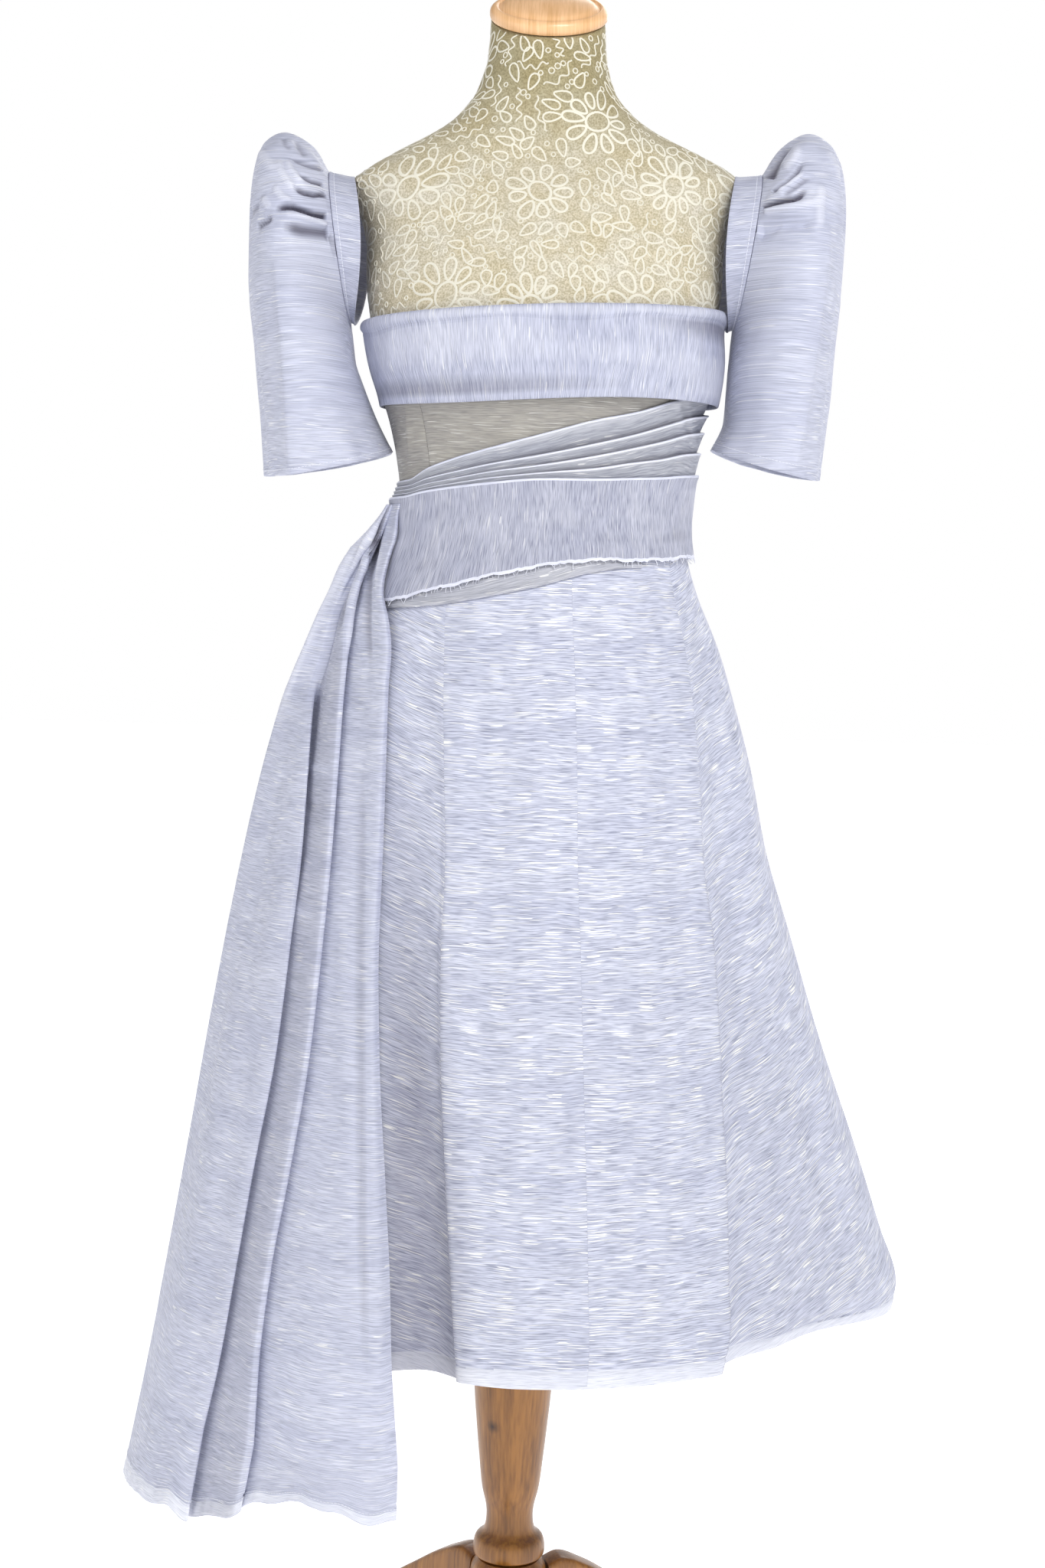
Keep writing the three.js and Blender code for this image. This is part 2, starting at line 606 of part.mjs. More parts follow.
// Pleated wrap with five folded edges, the lower panel with the raw edge and the layer under it
function buildWrap() {
  const half = CLOTH / 2;
  const rows = { pleats: [], panel: [] };
  const columns = [];
  for (let i = 0; i < WRAP_STEPS; i += 1) {
    columns.push((i * 360) / WRAP_STEPS);
  }
  const lines = columns.map((azimuth) => {
    const r = wrapRow(azimuth);
    const far = 1 + 0.7 * standOff(azimuth);
    const pinch = Math.min(1, (r.p1 - r.p5) / 40);
    const rise = (a, b) => Math.min(1.2, 0.3 * (a - b));
    const sink = 0.9 * pinch;
    const pleats = [
      [far * 1.5, r.p1],
      [far * 1.5 - 0.2 * sink, r.p2 + rise(r.p1, r.p2)],
      [far * 3.0, r.p2 - 0.2],
      [far * 3.0 - sink, r.p3 + rise(r.p2, r.p3)],
      [far * 4.2, r.p3 - 0.2],
      [far * 4.2 - sink, r.p4 + rise(r.p3, r.p4)],
      [far * 5.4, r.p4 - 0.2],
      [far * 5.4 - sink, r.p5 + 0.2],
      [far * 4.6 - sink, r.p5 - 18],
    ];
    const panel = [
      [far * 5.4 + 2.3, r.p5 + 0.8],
      [far * 5.4 + 2.5, r.p5 - 4],
      [far * 5.4 + 2.0, r.p5 - 14],
      [far * 3.6 + 3.4, r.p5 - 0.45 * (r.p5 - r.fray)],
      [far * 1.6 + 4.2, r.p5 - 0.75 * (r.p5 - r.fray)],
      [4.6 + 1.0 * far, r.fray + 6],
      [4.4 + 1.0 * far, r.fray],
    ];
    return { pleats, panel };
  });
  for (const key of ['pleats', 'panel']) {
    const count = lines[0][key].length;
    for (let k = 0; k < count; k += 1) {
      rows[key].push(columns.map((azimuth, i) => [azimuth, ...lines[i][key][k]]));
    }
  }
  const wall = (name, grid, colour) => {
    const outer = grid.map((line) => line.map(([az, off, z]) => bodyPoint(az, z, off + half)));
    const inner = grid.map((line) => line.map(([az, off, z]) => bodyPoint(az, z, off - half)));
    clothWall(name, outer, inner, true, colour);
  };
  wall('waist_wrap', rows.pleats, CLOTH_WHITE);
  wall('wrap_lower_panel', rows.panel, BAND_WHITE);
  const { from, to } = UNDER_LAYER_RANGE;
  const across = [];
  for (let i = 0; i <= 14; i += 1) {
    across.push(from + ((to - from) * i) / 14);
  }
  const shares = [1, 0.45, 0];
  const outer = shares.map((share) => across.map((az) => {
    const r = wrapRow(az);
    return bodyPoint(az, r.under + share * UNDER_LAYER_HEIGHT, UNDER_LAYER_OUT);
  }));
  const inner = shares.map((share) => across.map((az) => {
    const r = wrapRow(az);
    return bodyPoint(az, r.under + share * UNDER_LAYER_HEIGHT, REST_GAP);
  }));
  clothWall('wrap_under_layer', outer, inner, false, CLOTH_WHITE);
}

// How far the hem rises where the skirt is drawn flat between two folds
function hemRise(azimuth) {
  return 11 * bump(wrapAngle(azimuth - 56) / 24);
}

// A seam's azimuth at a level
function seamAt(seam, z) {
  const drop = (WAIST_Z - z) / (WAIST_Z - HEM_Z);
  if (drop < 0.5) {
    return seam.waist + (seam.middle - seam.waist) * (1 - Math.pow(1 - 2 * drop, 1.6));
  }
  return seam.middle + (seam.hem - seam.middle) * (2 * drop - 1);
}

// Skirt in six panels that carry the folds
function buildSkirt() {
  const levels = [WAIST_Z, ...SKIRT_ROWS.map((row) => row.z)];
  for (const panel of SKIRT_PANELS) {
    const rows = levels.map((z) => {
      const radius = rowAt(SKIRT_ROWS, 'z', z).f;
      const trim = (SEAM_GAP / 2 / radius) / DEG;
      const from = seamAt(SKIRT_SEAMS[panel.from], z) + trim;
      const to = seamAt(SKIRT_SEAMS[panel.to], z) + panel.turn - trim;
      const line = [];
      for (let i = 0; i <= panel.steps; i += 1) {
        const azimuth = from + ((to - from) * i) / panel.steps;
        line.push([azimuth, z === HEM_Z ? z + hemRise(azimuth) : z]);
      }
      return line;
    });
    const outer = rows.map((line) => line.map(([az, z]) => skirtPoint(az, z, 0)));
    const inner = rows.map((line) => line.map(([az, z]) => skirtPoint(az, z, -CLOTH)));
    clothWall(panel.name, outer, inner, false, CLOTH_WHITE);
  }
}

// Soft curve through points, a few steps per span
function softCurve(points, steps) {
  const curve = new THREE.CatmullRomCurve3(
    points.map((p) => new THREE.Vector3(p[0], p[1], p[2])),
    false,
    'centripetal',
  );
  const out = [];
  const spans = points.length - 1;
  for (let i = 0; i <= spans * steps; i += 1) {
    const p = curve.getPoint(i / (spans * steps));
    out.push([p.x, p.y, p.z]);
  }
  return out;
}

// Level path of the sash around the left side of the skirt, from its right edge to its left edge
function sashPath(row) {
  const skirt = row.z > SKIRT_ROWS[0].z ? SKIRT_ROWS[0] : rowAt(SKIRT_ROWS, 'z', row.z);
  const level = Math.max(row.z, HEM_Z);
  const side = Math.abs(row.left) - skirt.wl;
  const k = row.pile;
  const under = 5 * Math.max(0, k - 0.6) / 0.4;
  const marks = [
    [row.right, row.lift],
    [row.right - 0.1 * (row.right - row.edge2), row.lift + 7 * k],
    [row.right - 0.5 * (row.right - row.edge2), row.lift + 2 * k],
    [row.right - 0.78 * (row.right - row.edge2), row.lift + 1 * k],
    [row.edge2 - under, row.lift + 3 * k],
    [row.edge2 - 0.2 * under, row.lift + 8 * k],
    [row.edge2 - 0.18 * (row.edge2 - row.edge1), row.lift + 12 * k],
    [row.edge2 - 0.55 * (row.edge2 - row.edge1), row.lift + 12 * k],
    [row.edge1 + 0.1 * (row.edge2 - row.edge1) - under, row.lift + 10 * k],
    [row.edge1 - 0.6 * under, row.lift + 14 * k],
    [row.edge1, row.lift + 19 * k],
    [row.edge1 - 0.15 * (row.edge1 - row.left), row.lift + 24 * k],
  ];
  const points = marks.map(([x, off]) => {
    const reach = skirt.wl + off;
    const azimuth = Math.asin(Math.max(-0.995, x / reach)) / DEG;
    return skirtPoint(azimuth, level, off);
  });
  const last = Math.asin(Math.max(-0.97, marks[11][0] / (skirt.wl + marks[11][1]))) / DEG;
  for (const share of [0.4, 0.75, 1]) {
    const azimuth = last + (-88 - last) * share;
    const off = marks[11][1] + (side - 1 - marks[11][1]) * share;
    points.push(skirtPoint(azimuth, level, Math.max(off, row.lift + 2)));
  }
  points.push(skirtPoint(-97, level, Math.max(0.55 * side, row.lift + 1)));
  return points.map((p) => [p[0], p[1], row.z]);
}

// Sash cascade hanging from the gather at the left hip
function buildSash() {
  const half = CLOTH / 2;
  const rows = SASH_ROWS.map((row) => softCurve(sashPath(row), 2));
  const hemRow = rows[rows.length - 1].map((p) => {
    const hem = rowAt(SASH_HEM, 'x', p[0]);
    return [p[0] + HEM_SPREAD * (p[0] - HEM_RIGHT_X), p[1], hem.z + 1.5 * Math.sin(p[0] / 6)];
  });
  const midRow = hemRow.map((p, i) => {
    const q = rows[rows.length - 1][i];
    return [(p[0] + q[0]) / 2, (p[1] + q[1]) / 2, (p[2] + q[2]) / 2];
  });
  const grid = [...rows, midRow, hemRow];
  const outer = [];
  const inner = [];
  for (const line of grid) {
    const out = [];
    const ins = [];
    line.forEach((p, i) => {
      const a = line[Math.max(0, i - 1)];
      const b = line[Math.min(line.length - 1, i + 1)];
      const length = Math.hypot(b[0] - a[0], b[1] - a[1]);
      const n = [-(b[1] - a[1]) / length, (b[0] - a[0]) / length];
      out.push([p[0] + n[0] * half, p[1] + n[1] * half, p[2]]);
      ins.push([p[0] - n[0] * half, p[1] - n[1] * half, p[2]]);
    });
    outer.push(out);
    inner.push(ins);
  }
  clothWall('sash_cascade', outer, inner, false, CLOTH_WHITE);
}

// Gives a grid of points a wall thickness along its own normals
function thickened(grid, thickness) {
  const outer = [];
  const inner = [];
  for (let i = 0; i < grid.length; i += 1) {
    const out = [];
    const ins = [];
    const wide = grid[i].length;
    for (let j = 0; j < wide; j += 1) {
      const up = new THREE.Vector3(...grid[Math.min(grid.length - 1, i + 1)][j]);
      const down = new THREE.Vector3(...grid[Math.max(0, i - 1)][j]);
      const right = new THREE.Vector3(...grid[i][(j + 1) % wide]);
      const left = new THREE.Vector3(...grid[i][(j + wide - 1) % wide]);
      const n = up.sub(down).cross(right.sub(left)).normalize().multiplyScalar(thickness / 2);
      const p = grid[i][j];
      out.push([p[0] + n.x, p[1] + n.y, p[2] + n.z]);
      ins.push([p[0] - n.x, p[1] - n.y, p[2] - n.z]);
    }
    outer.push(out);
    inner.push(ins);
  }
  return { outer, inner };
}

// Ring of a sleeve: turn 0 is the outermost point, a quarter turn is the front
function sleeveRing(side, row) {
  const ring = [];
  for (let j = 0; j < SLEEVE_STEPS; j += 1) {
    const turn = (j * 360) / SLEEVE_STEPS + 2.2 * Math.sin(j * 2.4);
    const c = Math.cos(turn * DEG);
    const s = Math.sin(turn * DEG);
    const upper = Math.min(1, Math.max(0, (c + 0.35) / 0.6));
    const fold = (j % 2 === 0 ? 1 : -1) * row.pleat * upper;
    const ax = (row.ox - row.ix) / 2;
    const az = (row.oz - row.iz) / 2;
    const grow = 1 + fold / row.depth;
    const x = (row.ox + row.ix) / 2 + ax * c * grow - (row.sweep || 0) * s * s;
    const z = (row.oz + row.iz) / 2 + az * c * grow;
    ring.push([side * x, SLEEVE_SHIFT_Y - row.depth * s * grow, z]);
  }
  return ring;
}

// Butterfly sleeves, pleated into their bindings
function buildSleeves() {
  const sides = [
    { name: 'left', side: -1, rings: SLEEVE_RINGS_LEFT, binding: BINDING_LEFT },
    { name: 'right', side: 1, rings: SLEEVE_RINGS_RIGHT, binding: BINDING_RIGHT },
  ];
  for (const { name, side, rings, binding } of sides) {
    const grid = rings.map((row) => sleeveRing(side, row));
    const wall = thickened(grid, SLEEVE_WALL);
    clothWall(`sleeve_${name}`, wall.outer, wall.inner, true, CLOTH_WHITE);
    const join = { ...rings[rings.length - 1], pleat: 0 };
    const first = { ...join, ox: join.ox - 1.7, ix: join.ix - 1.7 };
    const middle = {};
    for (const key of ['ox', 'oz', 'ix', 'iz', 'depth']) {
      middle[key] = (first[key] + binding[key]) / 2;
    }
    const strip = [
      { ...first, pleat: 0, sweep: 0 },
      { ...middle, pleat: 0, sweep: binding.sweep / 2 },
      { ...binding, pleat: 0 },
    ];
    const bound = thickened(strip.map((row) => sleeveRing(side, row)), SLEEVE_WALL);
    clothWall(`sleeve_binding_${name}`, bound.outer, bound.inner, true, BAND_WHITE);
  }
}

buildForm();
buildStand();
buildBodice();
buildBand();
buildWrap();
buildSkirt();
buildSash();
buildSleeves();

export default part;
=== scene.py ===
"""Filipiniana dress with butterfly sleeves and a hip sash, worn on a limbless dress form."""

import logging
import math
from collections.abc import Sequence
from dataclasses import dataclass, field, replace
from enum import Enum

import bpy
import numpy as np
from mathutils import Matrix, Vector


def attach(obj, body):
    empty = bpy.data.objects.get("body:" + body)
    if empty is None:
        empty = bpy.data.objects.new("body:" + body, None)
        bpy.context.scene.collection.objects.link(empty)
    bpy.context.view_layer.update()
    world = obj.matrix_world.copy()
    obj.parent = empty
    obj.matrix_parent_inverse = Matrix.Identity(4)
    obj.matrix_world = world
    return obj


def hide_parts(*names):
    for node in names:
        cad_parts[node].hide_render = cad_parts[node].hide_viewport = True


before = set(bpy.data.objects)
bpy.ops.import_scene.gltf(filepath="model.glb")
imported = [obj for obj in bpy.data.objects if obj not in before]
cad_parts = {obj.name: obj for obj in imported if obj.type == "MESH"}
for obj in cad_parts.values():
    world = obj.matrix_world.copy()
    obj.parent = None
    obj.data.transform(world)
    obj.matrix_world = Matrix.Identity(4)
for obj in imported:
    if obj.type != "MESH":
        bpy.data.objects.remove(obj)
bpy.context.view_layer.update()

LOG = logging.getLogger("filipiniana")
Grid = np.ndarray
Piece = bpy.types.Object
Material = bpy.types.Material
Tree = bpy.types.NodeTree
Node = bpy.types.Node
Socket = bpy.types.NodeSocket
Line = tuple[tuple[float, float], ...]

# Sizes in millimetres, +Z up, floor at z = 0, the front faces -Y
CLOTH = 1.8
SEAM_GAP = 0.3
REST_GAP = 0.6
BODICE_WALL = 1.6
WAIST_Z = 1168.0
HEM_Z = 434.0
BODICE_TOP_Z = 1336.0
BAND_TOP_Z = 1351.0
BAND_BOTTOM_Z = 1271.0
BAND_TILT = 8.0
SHOULDER_TILT = 0.02
NECK_TILT = 29.0
FORM_BOTTOM_Z = 900.0
FORM_TOP_Z = 1622.0
WRAP_REST = 0.2
THREAD_REST = 0.1
FOLDS_START_Z = 1120.0
FOLD_GROWTH = 1.15
HEM_TURN_Z = 461.0
MILLIMETRE = 0.001

# Dress form by level: half width, depth to the front and back, shift to the right, forward tilt
FORM_ROWS = (
    (900, 140, 102, 108, 0, 0), (910, 150, 112, 118, 0, 0), (955, 166, 121, 127, 0, 0),
    (1010, 171, 122, 129, 0, 0), (1050, 166, 117, 123, 0.5, 0), (1098, 149, 105, 110, 1.5, 0),
    (1140, 134, 95, 97, 3, 0), (1168, 130.5, 91, 89, 3.5, 0), (1190, 129.5, 90, 87, 4, 0),
    (1220, 133, 93, 89, 4, 0), (1250, 139.5, 99, 94, 4, 0), (1280, 148.5, 108, 99, 4, 0),
    (1315, 156, 115, 105, 3, 0), (1345, 159.5, 115, 109, 2, 0), (1380, 164, 106, 109, 2, 0),
    (1415, 165, 94, 105, 2, 0), (1440, 170, 83, 97, 2, 0), (1460, 178, 73, 87, 1.5, 0),
    (1473, 181, 65, 79, 1.5, 0), (1484, 170, 60, 73, 1.5, 0), (1499, 144, 57, 69, 1.5, 0),
    (1523, 97, 55, 63, 1, 0), (1537, 79, 54, 60, 0.5, 0), (1558, 63, 53, 56, -0.5, 1),
    (1591, 54, 52.5, 53, -0.5, 13), (1622, 52, 52.5, 52.5, -0.5, 29),
)

# Skirt by level: half width left and right, depth to the front and back, shift
SKIRT_ROWS = (
    (1168, 132.9, 132.9, 93.4, 91.4, 3.5), (1148, 136, 136.5, 97, 97, 3),
    (1127, 142, 142, 103, 104, 2), (1098, 153, 153, 113, 116, 1), (1070, 164, 167, 122, 127, 0),
    (1042, 172, 179, 131, 138, 0), (1010, 182, 190, 140, 149, 0), (940, 201, 212, 160, 170, 0),
    (860, 218, 231, 180, 192, 0), (790, 238, 254.5, 199, 212, 0), (690, 266, 287, 229, 240, 0),
    (585, 289, 325, 257, 267.5, 0), (510, 306, 350, 272, 283, 0), (461, 317, 366, 282, 292, 0),
    (434, 321, 361, 288, 296, 0),
)

# Folds that grow towards the hem: azimuth at the waist and at the hem, depth, width
SKIRT_FOLDS = (
    (-46, -15, -34, 8), (72, 34.5, -16, 6), (60, 51, -34, 17), (100, 96, -16, 10),
    (128, 122, 12, 12), (150, 146, -20, 9), (172, 170, 8, 12), (200, 203, -22, 10),
    (224, 226, 11, 12), (246, 248, -14, 9), (-66, -52, -9, 12),
)

# Seams of the skirt: azimuth at the waist, half way and at the hem
SKIRT_SEAMS = {
    "left": (-36, -18, -7.8), "centre": (13, 11, 9.8), "right": (62, 43, 29),
    "right_side": (108, 108, 108), "back": (180, 180, 180), "left_side": (252, 252, 252),
}

# Heights of the wrap's folded edges, raw edge and under layer by azimuth
WRAP_ROWS = (
    (-90, 1197, 1192.5, 1189, 1185.5, 1182, 1086, 1083),
    (-65, 1199, 1193.5, 1190, 1186.5, 1183, 1086, 1082),
    (-50, 1209, 1200, 1195, 1191, 1187.5, 1091, 1083),
    (-35, 1218, 1206, 1200, 1195.5, 1191.5, 1100, 1086),
    (-20, 1227, 1213, 1206, 1200.5, 1195.5, 1110, 1093),
    (0, 1240, 1222, 1213, 1206, 1200, 1122, 1105),
    (20, 1254, 1233, 1222, 1211, 1201, 1129, 1119),
    (35, 1262, 1242, 1230, 1217, 1203, 1130, 1124),
    (50, 1273, 1252, 1238, 1222, 1205, 1131, 1125),
    (65, 1280, 1261, 1246, 1228, 1208, 1134, 1127),
    (90, 1285, 1267, 1251, 1232, 1211, 1136, 1129),
)

# Sash by level: outline left, edges of the two upper folds, outline right, lift, pile
SASH_ROWS = (
    (1176, -143, -140, -136, -128, 10.8, 0.4), (1168, -148, -144, -139, -130, 11.4, 0.45),
    (1148, -162, -154, -146, -131, 11.5, 0.6), (1127, -177, -165, -154, -136, 11, 0.7),
    (1098, -190, -177, -163, -140, 9.5, 0.8), (1070, -202, -189, -168, -133, 7.6, 0.85),
    (1042, -213, -198, -170, -130, 4.8, 0.9), (1010, -225, -203, -172, -132, 3.6, 0.95),
    (940, -246, -205, -175, -133, 3.6, 1), (860, -264, -208, -178, -134, 3.6, 1),
    (790, -276, -214, -182, -135, 3.6, 1), (690, -293, -223, -189, -131, 3.6, 1),
    (585, -309, -241, -204, -122, 3.6, 1), (510, -322, -253, -217, -116, 3.6, 1),
    (434, -336, -265, -225, -112, 3.6, 1), (350, -352, -283, -230, -106, 3.6, 1),
)
SASH_HEM = (
    (-371, 232), (-343, 257), (-312, 266), (-294, 271), (-279, 265), (-255, 274), (-244, 280),
    (-228, 290), (-210, 302), (-173, 314), (-142, 309), (-120, 303), (-94, 302),
)

# Sleeve from the cuff to the armhole: outermost x and z, innermost x and z, half depth
SLEEVE_RIGHT = (
    (0, 262, 1211, 163, 1236, 84), (1, 267, 1262, 173.5, 1262, 90),
    (2, 271.5, 1330, 175, 1288, 94), (3, 276, 1395, 176, 1308, 95),
    (4, 277.6, 1450, 177, 1322, 92), (5, 273, 1493, 177.5, 1331, 87),
    (6, 260, 1516, 178, 1337, 81), (7, 242, 1524, 178.5, 1341, 75),
    (8, 219, 1512, 179, 1344.4, 67), (9, 200.5, 1486.5, 179.8, 1347, 60),
)
SLEEVE_LEFT = (
    (0, 252, 1202, 136, 1226, 84), (1, 257, 1252, 152, 1257, 90),
    (2, 264, 1318, 164.5, 1286, 94), (3, 270.5, 1385, 172.5, 1308, 95),
    (4, 270.5, 1438, 174.5, 1322, 92), (5, 267, 1480, 175.5, 1330, 87),
    (6, 257, 1505, 176.3, 1335, 81), (7, 240, 1513, 177, 1339, 75),
    (8, 216, 1502, 177.7, 1342.6, 67), (9, 199.5, 1479.5, 178.4, 1345, 60),
)
BINDING_RIGHT = (176, 1484.4, 173.6, 1345.5, 58)
BINDING_LEFT = (176, 1475.3, 173.2, 1343.5, 58)
BINDING_SWEEP = 9.0
SLEEVE_SHIFT_Y = 3.0

# Turned wood: radius and height
POLE_PROFILE = (
    (0, 166.3), (20, 166.3), (33, 170), (34.5, 176), (32.5, 187), (25, 194), (22.5, 207),
    (23.4, 219), (27.4, 236), (31, 267), (34, 297), (36.8, 328), (38, 352), (34, 376), (20, 392),
    (16, 420), (16, 660), (16, 899.7), (0, 899.7),
)
HUB_PROFILE = ((0, 62), (30, 62), (34, 66), (37, 76), (37, 150), (35, 160), (30, 166), (0, 166))
CAP_PROFILE = (
    (0, 0), (47, 0), (53, 1.5), (54.5, 6), (53, 10.5), (48, 13), (46.5, 11.6), (44.5, 12.2),
    (40, 15), (20, 18.5), (0, 19.2),
)
LEG_ROWS = (
    (37.3, 84, 158, 15), (52, 88, 163, 15), (78, 90, 153, 14.5), (120, 72, 126, 14),
    (170, 44, 92, 13.5), (220, 18, 60, 13.5), (248, 0, 42, 14), (275, 0, 32, 14),
    (285, 0, 24, 11),
)
LEG_AZIMUTHS = (-12.0, 108.0, 228.0)


class Side(Enum):
    """Side of the dress that a crease is drawn on: across axis, depth axis, way it faces."""

    FRONT = (0, 1, -1.0)
    BACK = (0, 1, 1.0)
    RIGHT = (1, 0, 1.0)
    LEFT = (1, 0, -1.0)


class Weave(Enum):
    """Way the slubs run on a piece: across it or down it."""

    ACROSS = (1.0, 0.0)
    DOWN = (0.0, 1.0)


@dataclass(frozen=True)
class Crease:
    """A soft ridge or trough, seen from one side.

    Its line holds (across, up) positions, height is positive for a ridge, width is the
    distance at which it has sunk to a third, and lean widens its right-hand side.
    """

    line: Line
    height: float
    width: float
    lean: float = 1.0
    side: Side = Side.FRONT
    fade: tuple[float, float] = (0.2, 0.3)


def drawn(
    side: Side, rows: Sequence[tuple[float, ...]], fade: tuple[float, float] = (0.2, 0.3)
) -> tuple[Crease, ...]:
    """Creases of one side of the dress.

    Args:
        side: side they are seen from.
        rows: height, width and lean of each, then its points, across and up in turn.
        fade: share of its length over which each starts and ends softly.

    Returns:
        The creases.
    """
    return tuple(
        Crease(tuple(zip(row[3::2], row[4::2])), *row[:3], side, fade) for row in rows
    )


def follow(levels: Grid, values: Grid, at: Grid) -> Grid:
    """Reads a smooth line through a table's values, with no overshoot.

    Args:
        levels: where the values stand, rising or falling.
        values: the value at each level.
        at: where the line is read.

    Returns:
        The line's value at each place.
    """
    order = np.argsort(levels)
    x, y = levels[order], values[order]
    step = np.diff(x)
    slope = np.diff(y) / step
    tangent = np.zeros_like(y)
    tangent[0], tangent[-1] = slope[0], slope[-1]
    before, after = slope[:-1], slope[1:]
    same = before * after > 0
    total = np.where(same, before + after, 1.0)
    tangent[1:-1] = np.where(same, 2 * before * after / total, 0.0)
    i = np.clip(np.searchsorted(x, at) - 1, 0, len(step) - 1)
    t = np.clip((at - x[i]) / step[i], 0, 1)
    rise = t * (1 - t) ** 2 * tangent[i] + t * t * (t - 1) * tangent[i + 1]
    return (1 + 2 * t) * (1 - t) ** 2 * y[i] + t * t * (3 - 2 * t) * y[i + 1] + step[i] * rise


def read(table: Sequence[Sequence[float]], at: Grid) -> list[Grid]:
    """Smooth values of a table's columns.

    Args:
        table: rows whose first number is the level.
        at: levels to read.

    Returns:
        One array per further column.
    """
    data = np.array(table, float)
    return [follow(data[:, 0], data[:, k], at) for k in range(1, data.shape[1])]


def bump(distance: Grid) -> Grid:
    """Soft hill of height one."""
    return np.exp(-np.square(distance))


def wrap_angle(angle: Grid) -> Grid:
    """Angle between -180 and 180 degrees."""
    return np.mod(np.asarray(angle, float) + 180, 360) - 180


def ease(share: Grid) -> Grid:
    """Soft step from nought to one."""
    t = np.clip(share, 0, 1)
    return t * t * (3 - 2 * t)


def section(azimuth: Grid, wl: Grid, wr: Grid, f: Grid, b: Grid) -> tuple[Grid, Grid]:
    """Level section of four quarter ovals.

    Args:
        azimuth: degrees from the front, towards the right side.
        wl, wr, f, b: reach to the left, right, front and back.

    Returns:
        The x and y of each place.
    """
    s, c = np.sin(np.radians(azimuth)), np.cos(np.radians(azimuth))
    return np.where(s < 0, wl, wr) * s, np.where(c > 0, -f * c, -b * c)


def section_normal(azimuth: Grid, wl: Grid, wr: Grid, f: Grid, b: Grid) -> tuple[Grid, Grid]:
    """Outward direction of a section, level with the floor.

    Args:
        azimuth: degrees from the front, towards the right side.
        wl, wr, f, b: reach to the left, right, front and back.

    Returns:
        The x and y of each direction.
    """
    px, py = section(azimuth - 0.5, wl, wr, f, b)
    qx, qy = section(azimuth + 0.5, wl, wr, f, b)
    dx, dy = qx - px, qy - py
    length = np.hypot(dx, dy)
    return dy / length, -dx / length


def form_point(azimuth: Grid, z: Grid, offset: Grid | float) -> Grid:
    """Surface of the dress form, moved out by an offset.

    Args:
        azimuth: degrees from the front.
        z: level before the neck's tilt.
        offset: distance out from the surface.

    Returns:
        Points, in millimetres.
    """
    azimuth, z, offset = (a.astype(float) for a in np.broadcast_arrays(azimuth, z, offset))
    w, f, b, shift, tilt = read(FORM_ROWS, z)
    x, y = section(azimuth, w, w, f, b)
    nx, ny = section_normal(azimuth, w, w, f, b)
    y = y + ny * offset
    x = x + nx * offset + shift
    lean = np.radians(tilt)
    lift = SHOULDER_TILT * np.clip((z - 1380) / 70, 0, 1) * np.clip((1550 - z) / 60, 0, 1)
    return np.stack([x, y * np.cos(lean), z + y * np.sin(lean) + x * lift], -1)


def fold_share(z: Grid) -> Grid:
    """How far down the skirt's folds a level lies, from nought to one at the hem."""
    return np.clip((FOLDS_START_Z - z) / (FOLDS_START_Z - HEM_Z), 0, 1)


def skirt_wave(azimuth: Grid, z: Grid) -> Grid:
    """Sum of the skirt's folds at a place, nought at the waist."""
    drop = fold_share(z)
    total = np.zeros(np.broadcast(azimuth, z).shape)
    for top, hem, depth, width in SKIRT_FOLDS:
        middle = hem + (top - hem) * np.power(1 - drop, 1.4)
        reach = width * (1 + 0.8 * (1 - drop))
        hill = bump(wrap_angle(azimuth - middle) / reach)
        total = total + depth * np.power(drop, FOLD_GROWTH) * hill
    return total


def skirt_point(azimuth: Grid, z: Grid, offset: Grid | float) -> Grid:
    """Outer face of the skirt, moved out by an offset.

    Args:
        azimuth: degrees from the front.
        z: level.
        offset: distance out from the face.

    Returns:
        Points, in millimetres.
    """
    azimuth, z, offset = (a.astype(float) for a in np.broadcast_arrays(azimuth, z, offset))
    wl, wr, f, b, shift = read(SKIRT_ROWS, z)
    x, y = section(azimuth, wl, wr, f, b)
    nx, ny = section_normal(azimuth, wl, wr, f, b)
    out = offset + skirt_wave(azimuth, z)
    return np.stack([x + nx * out + shift, y + ny * out, z], -1)


def body_point(azimuth: Grid, z: Grid, offset: Grid | float) -> Grid:
    """Dressed body under the wrap: the bodice above the waist, the skirt below it."""
    z = np.asarray(z, float)
    upper = form_point(azimuth, z, offset + REST_GAP + BODICE_WALL + WRAP_REST)
    lower = skirt_point(azimuth, z, offset)
    return np.where((np.broadcast_to(z, upper.shape[:-1]) >= WAIST_Z)[..., None], upper, lower)


def wrap_row(azimuth: Grid) -> list[Grid]:
    """Heights of the wrap's edges by azimuth; the back repeats the front."""
    a = wrap_angle(azimuth)
    return read(WRAP_ROWS, np.where(np.abs(a) <= 90, a, np.sign(a) * 180 - a))


def stand_off(azimuth: Grid) -> Grid:
    """How far the right side of band and wrap stands off the body, as a share."""
    return bump(wrap_angle(azimuth - 86) / 46)


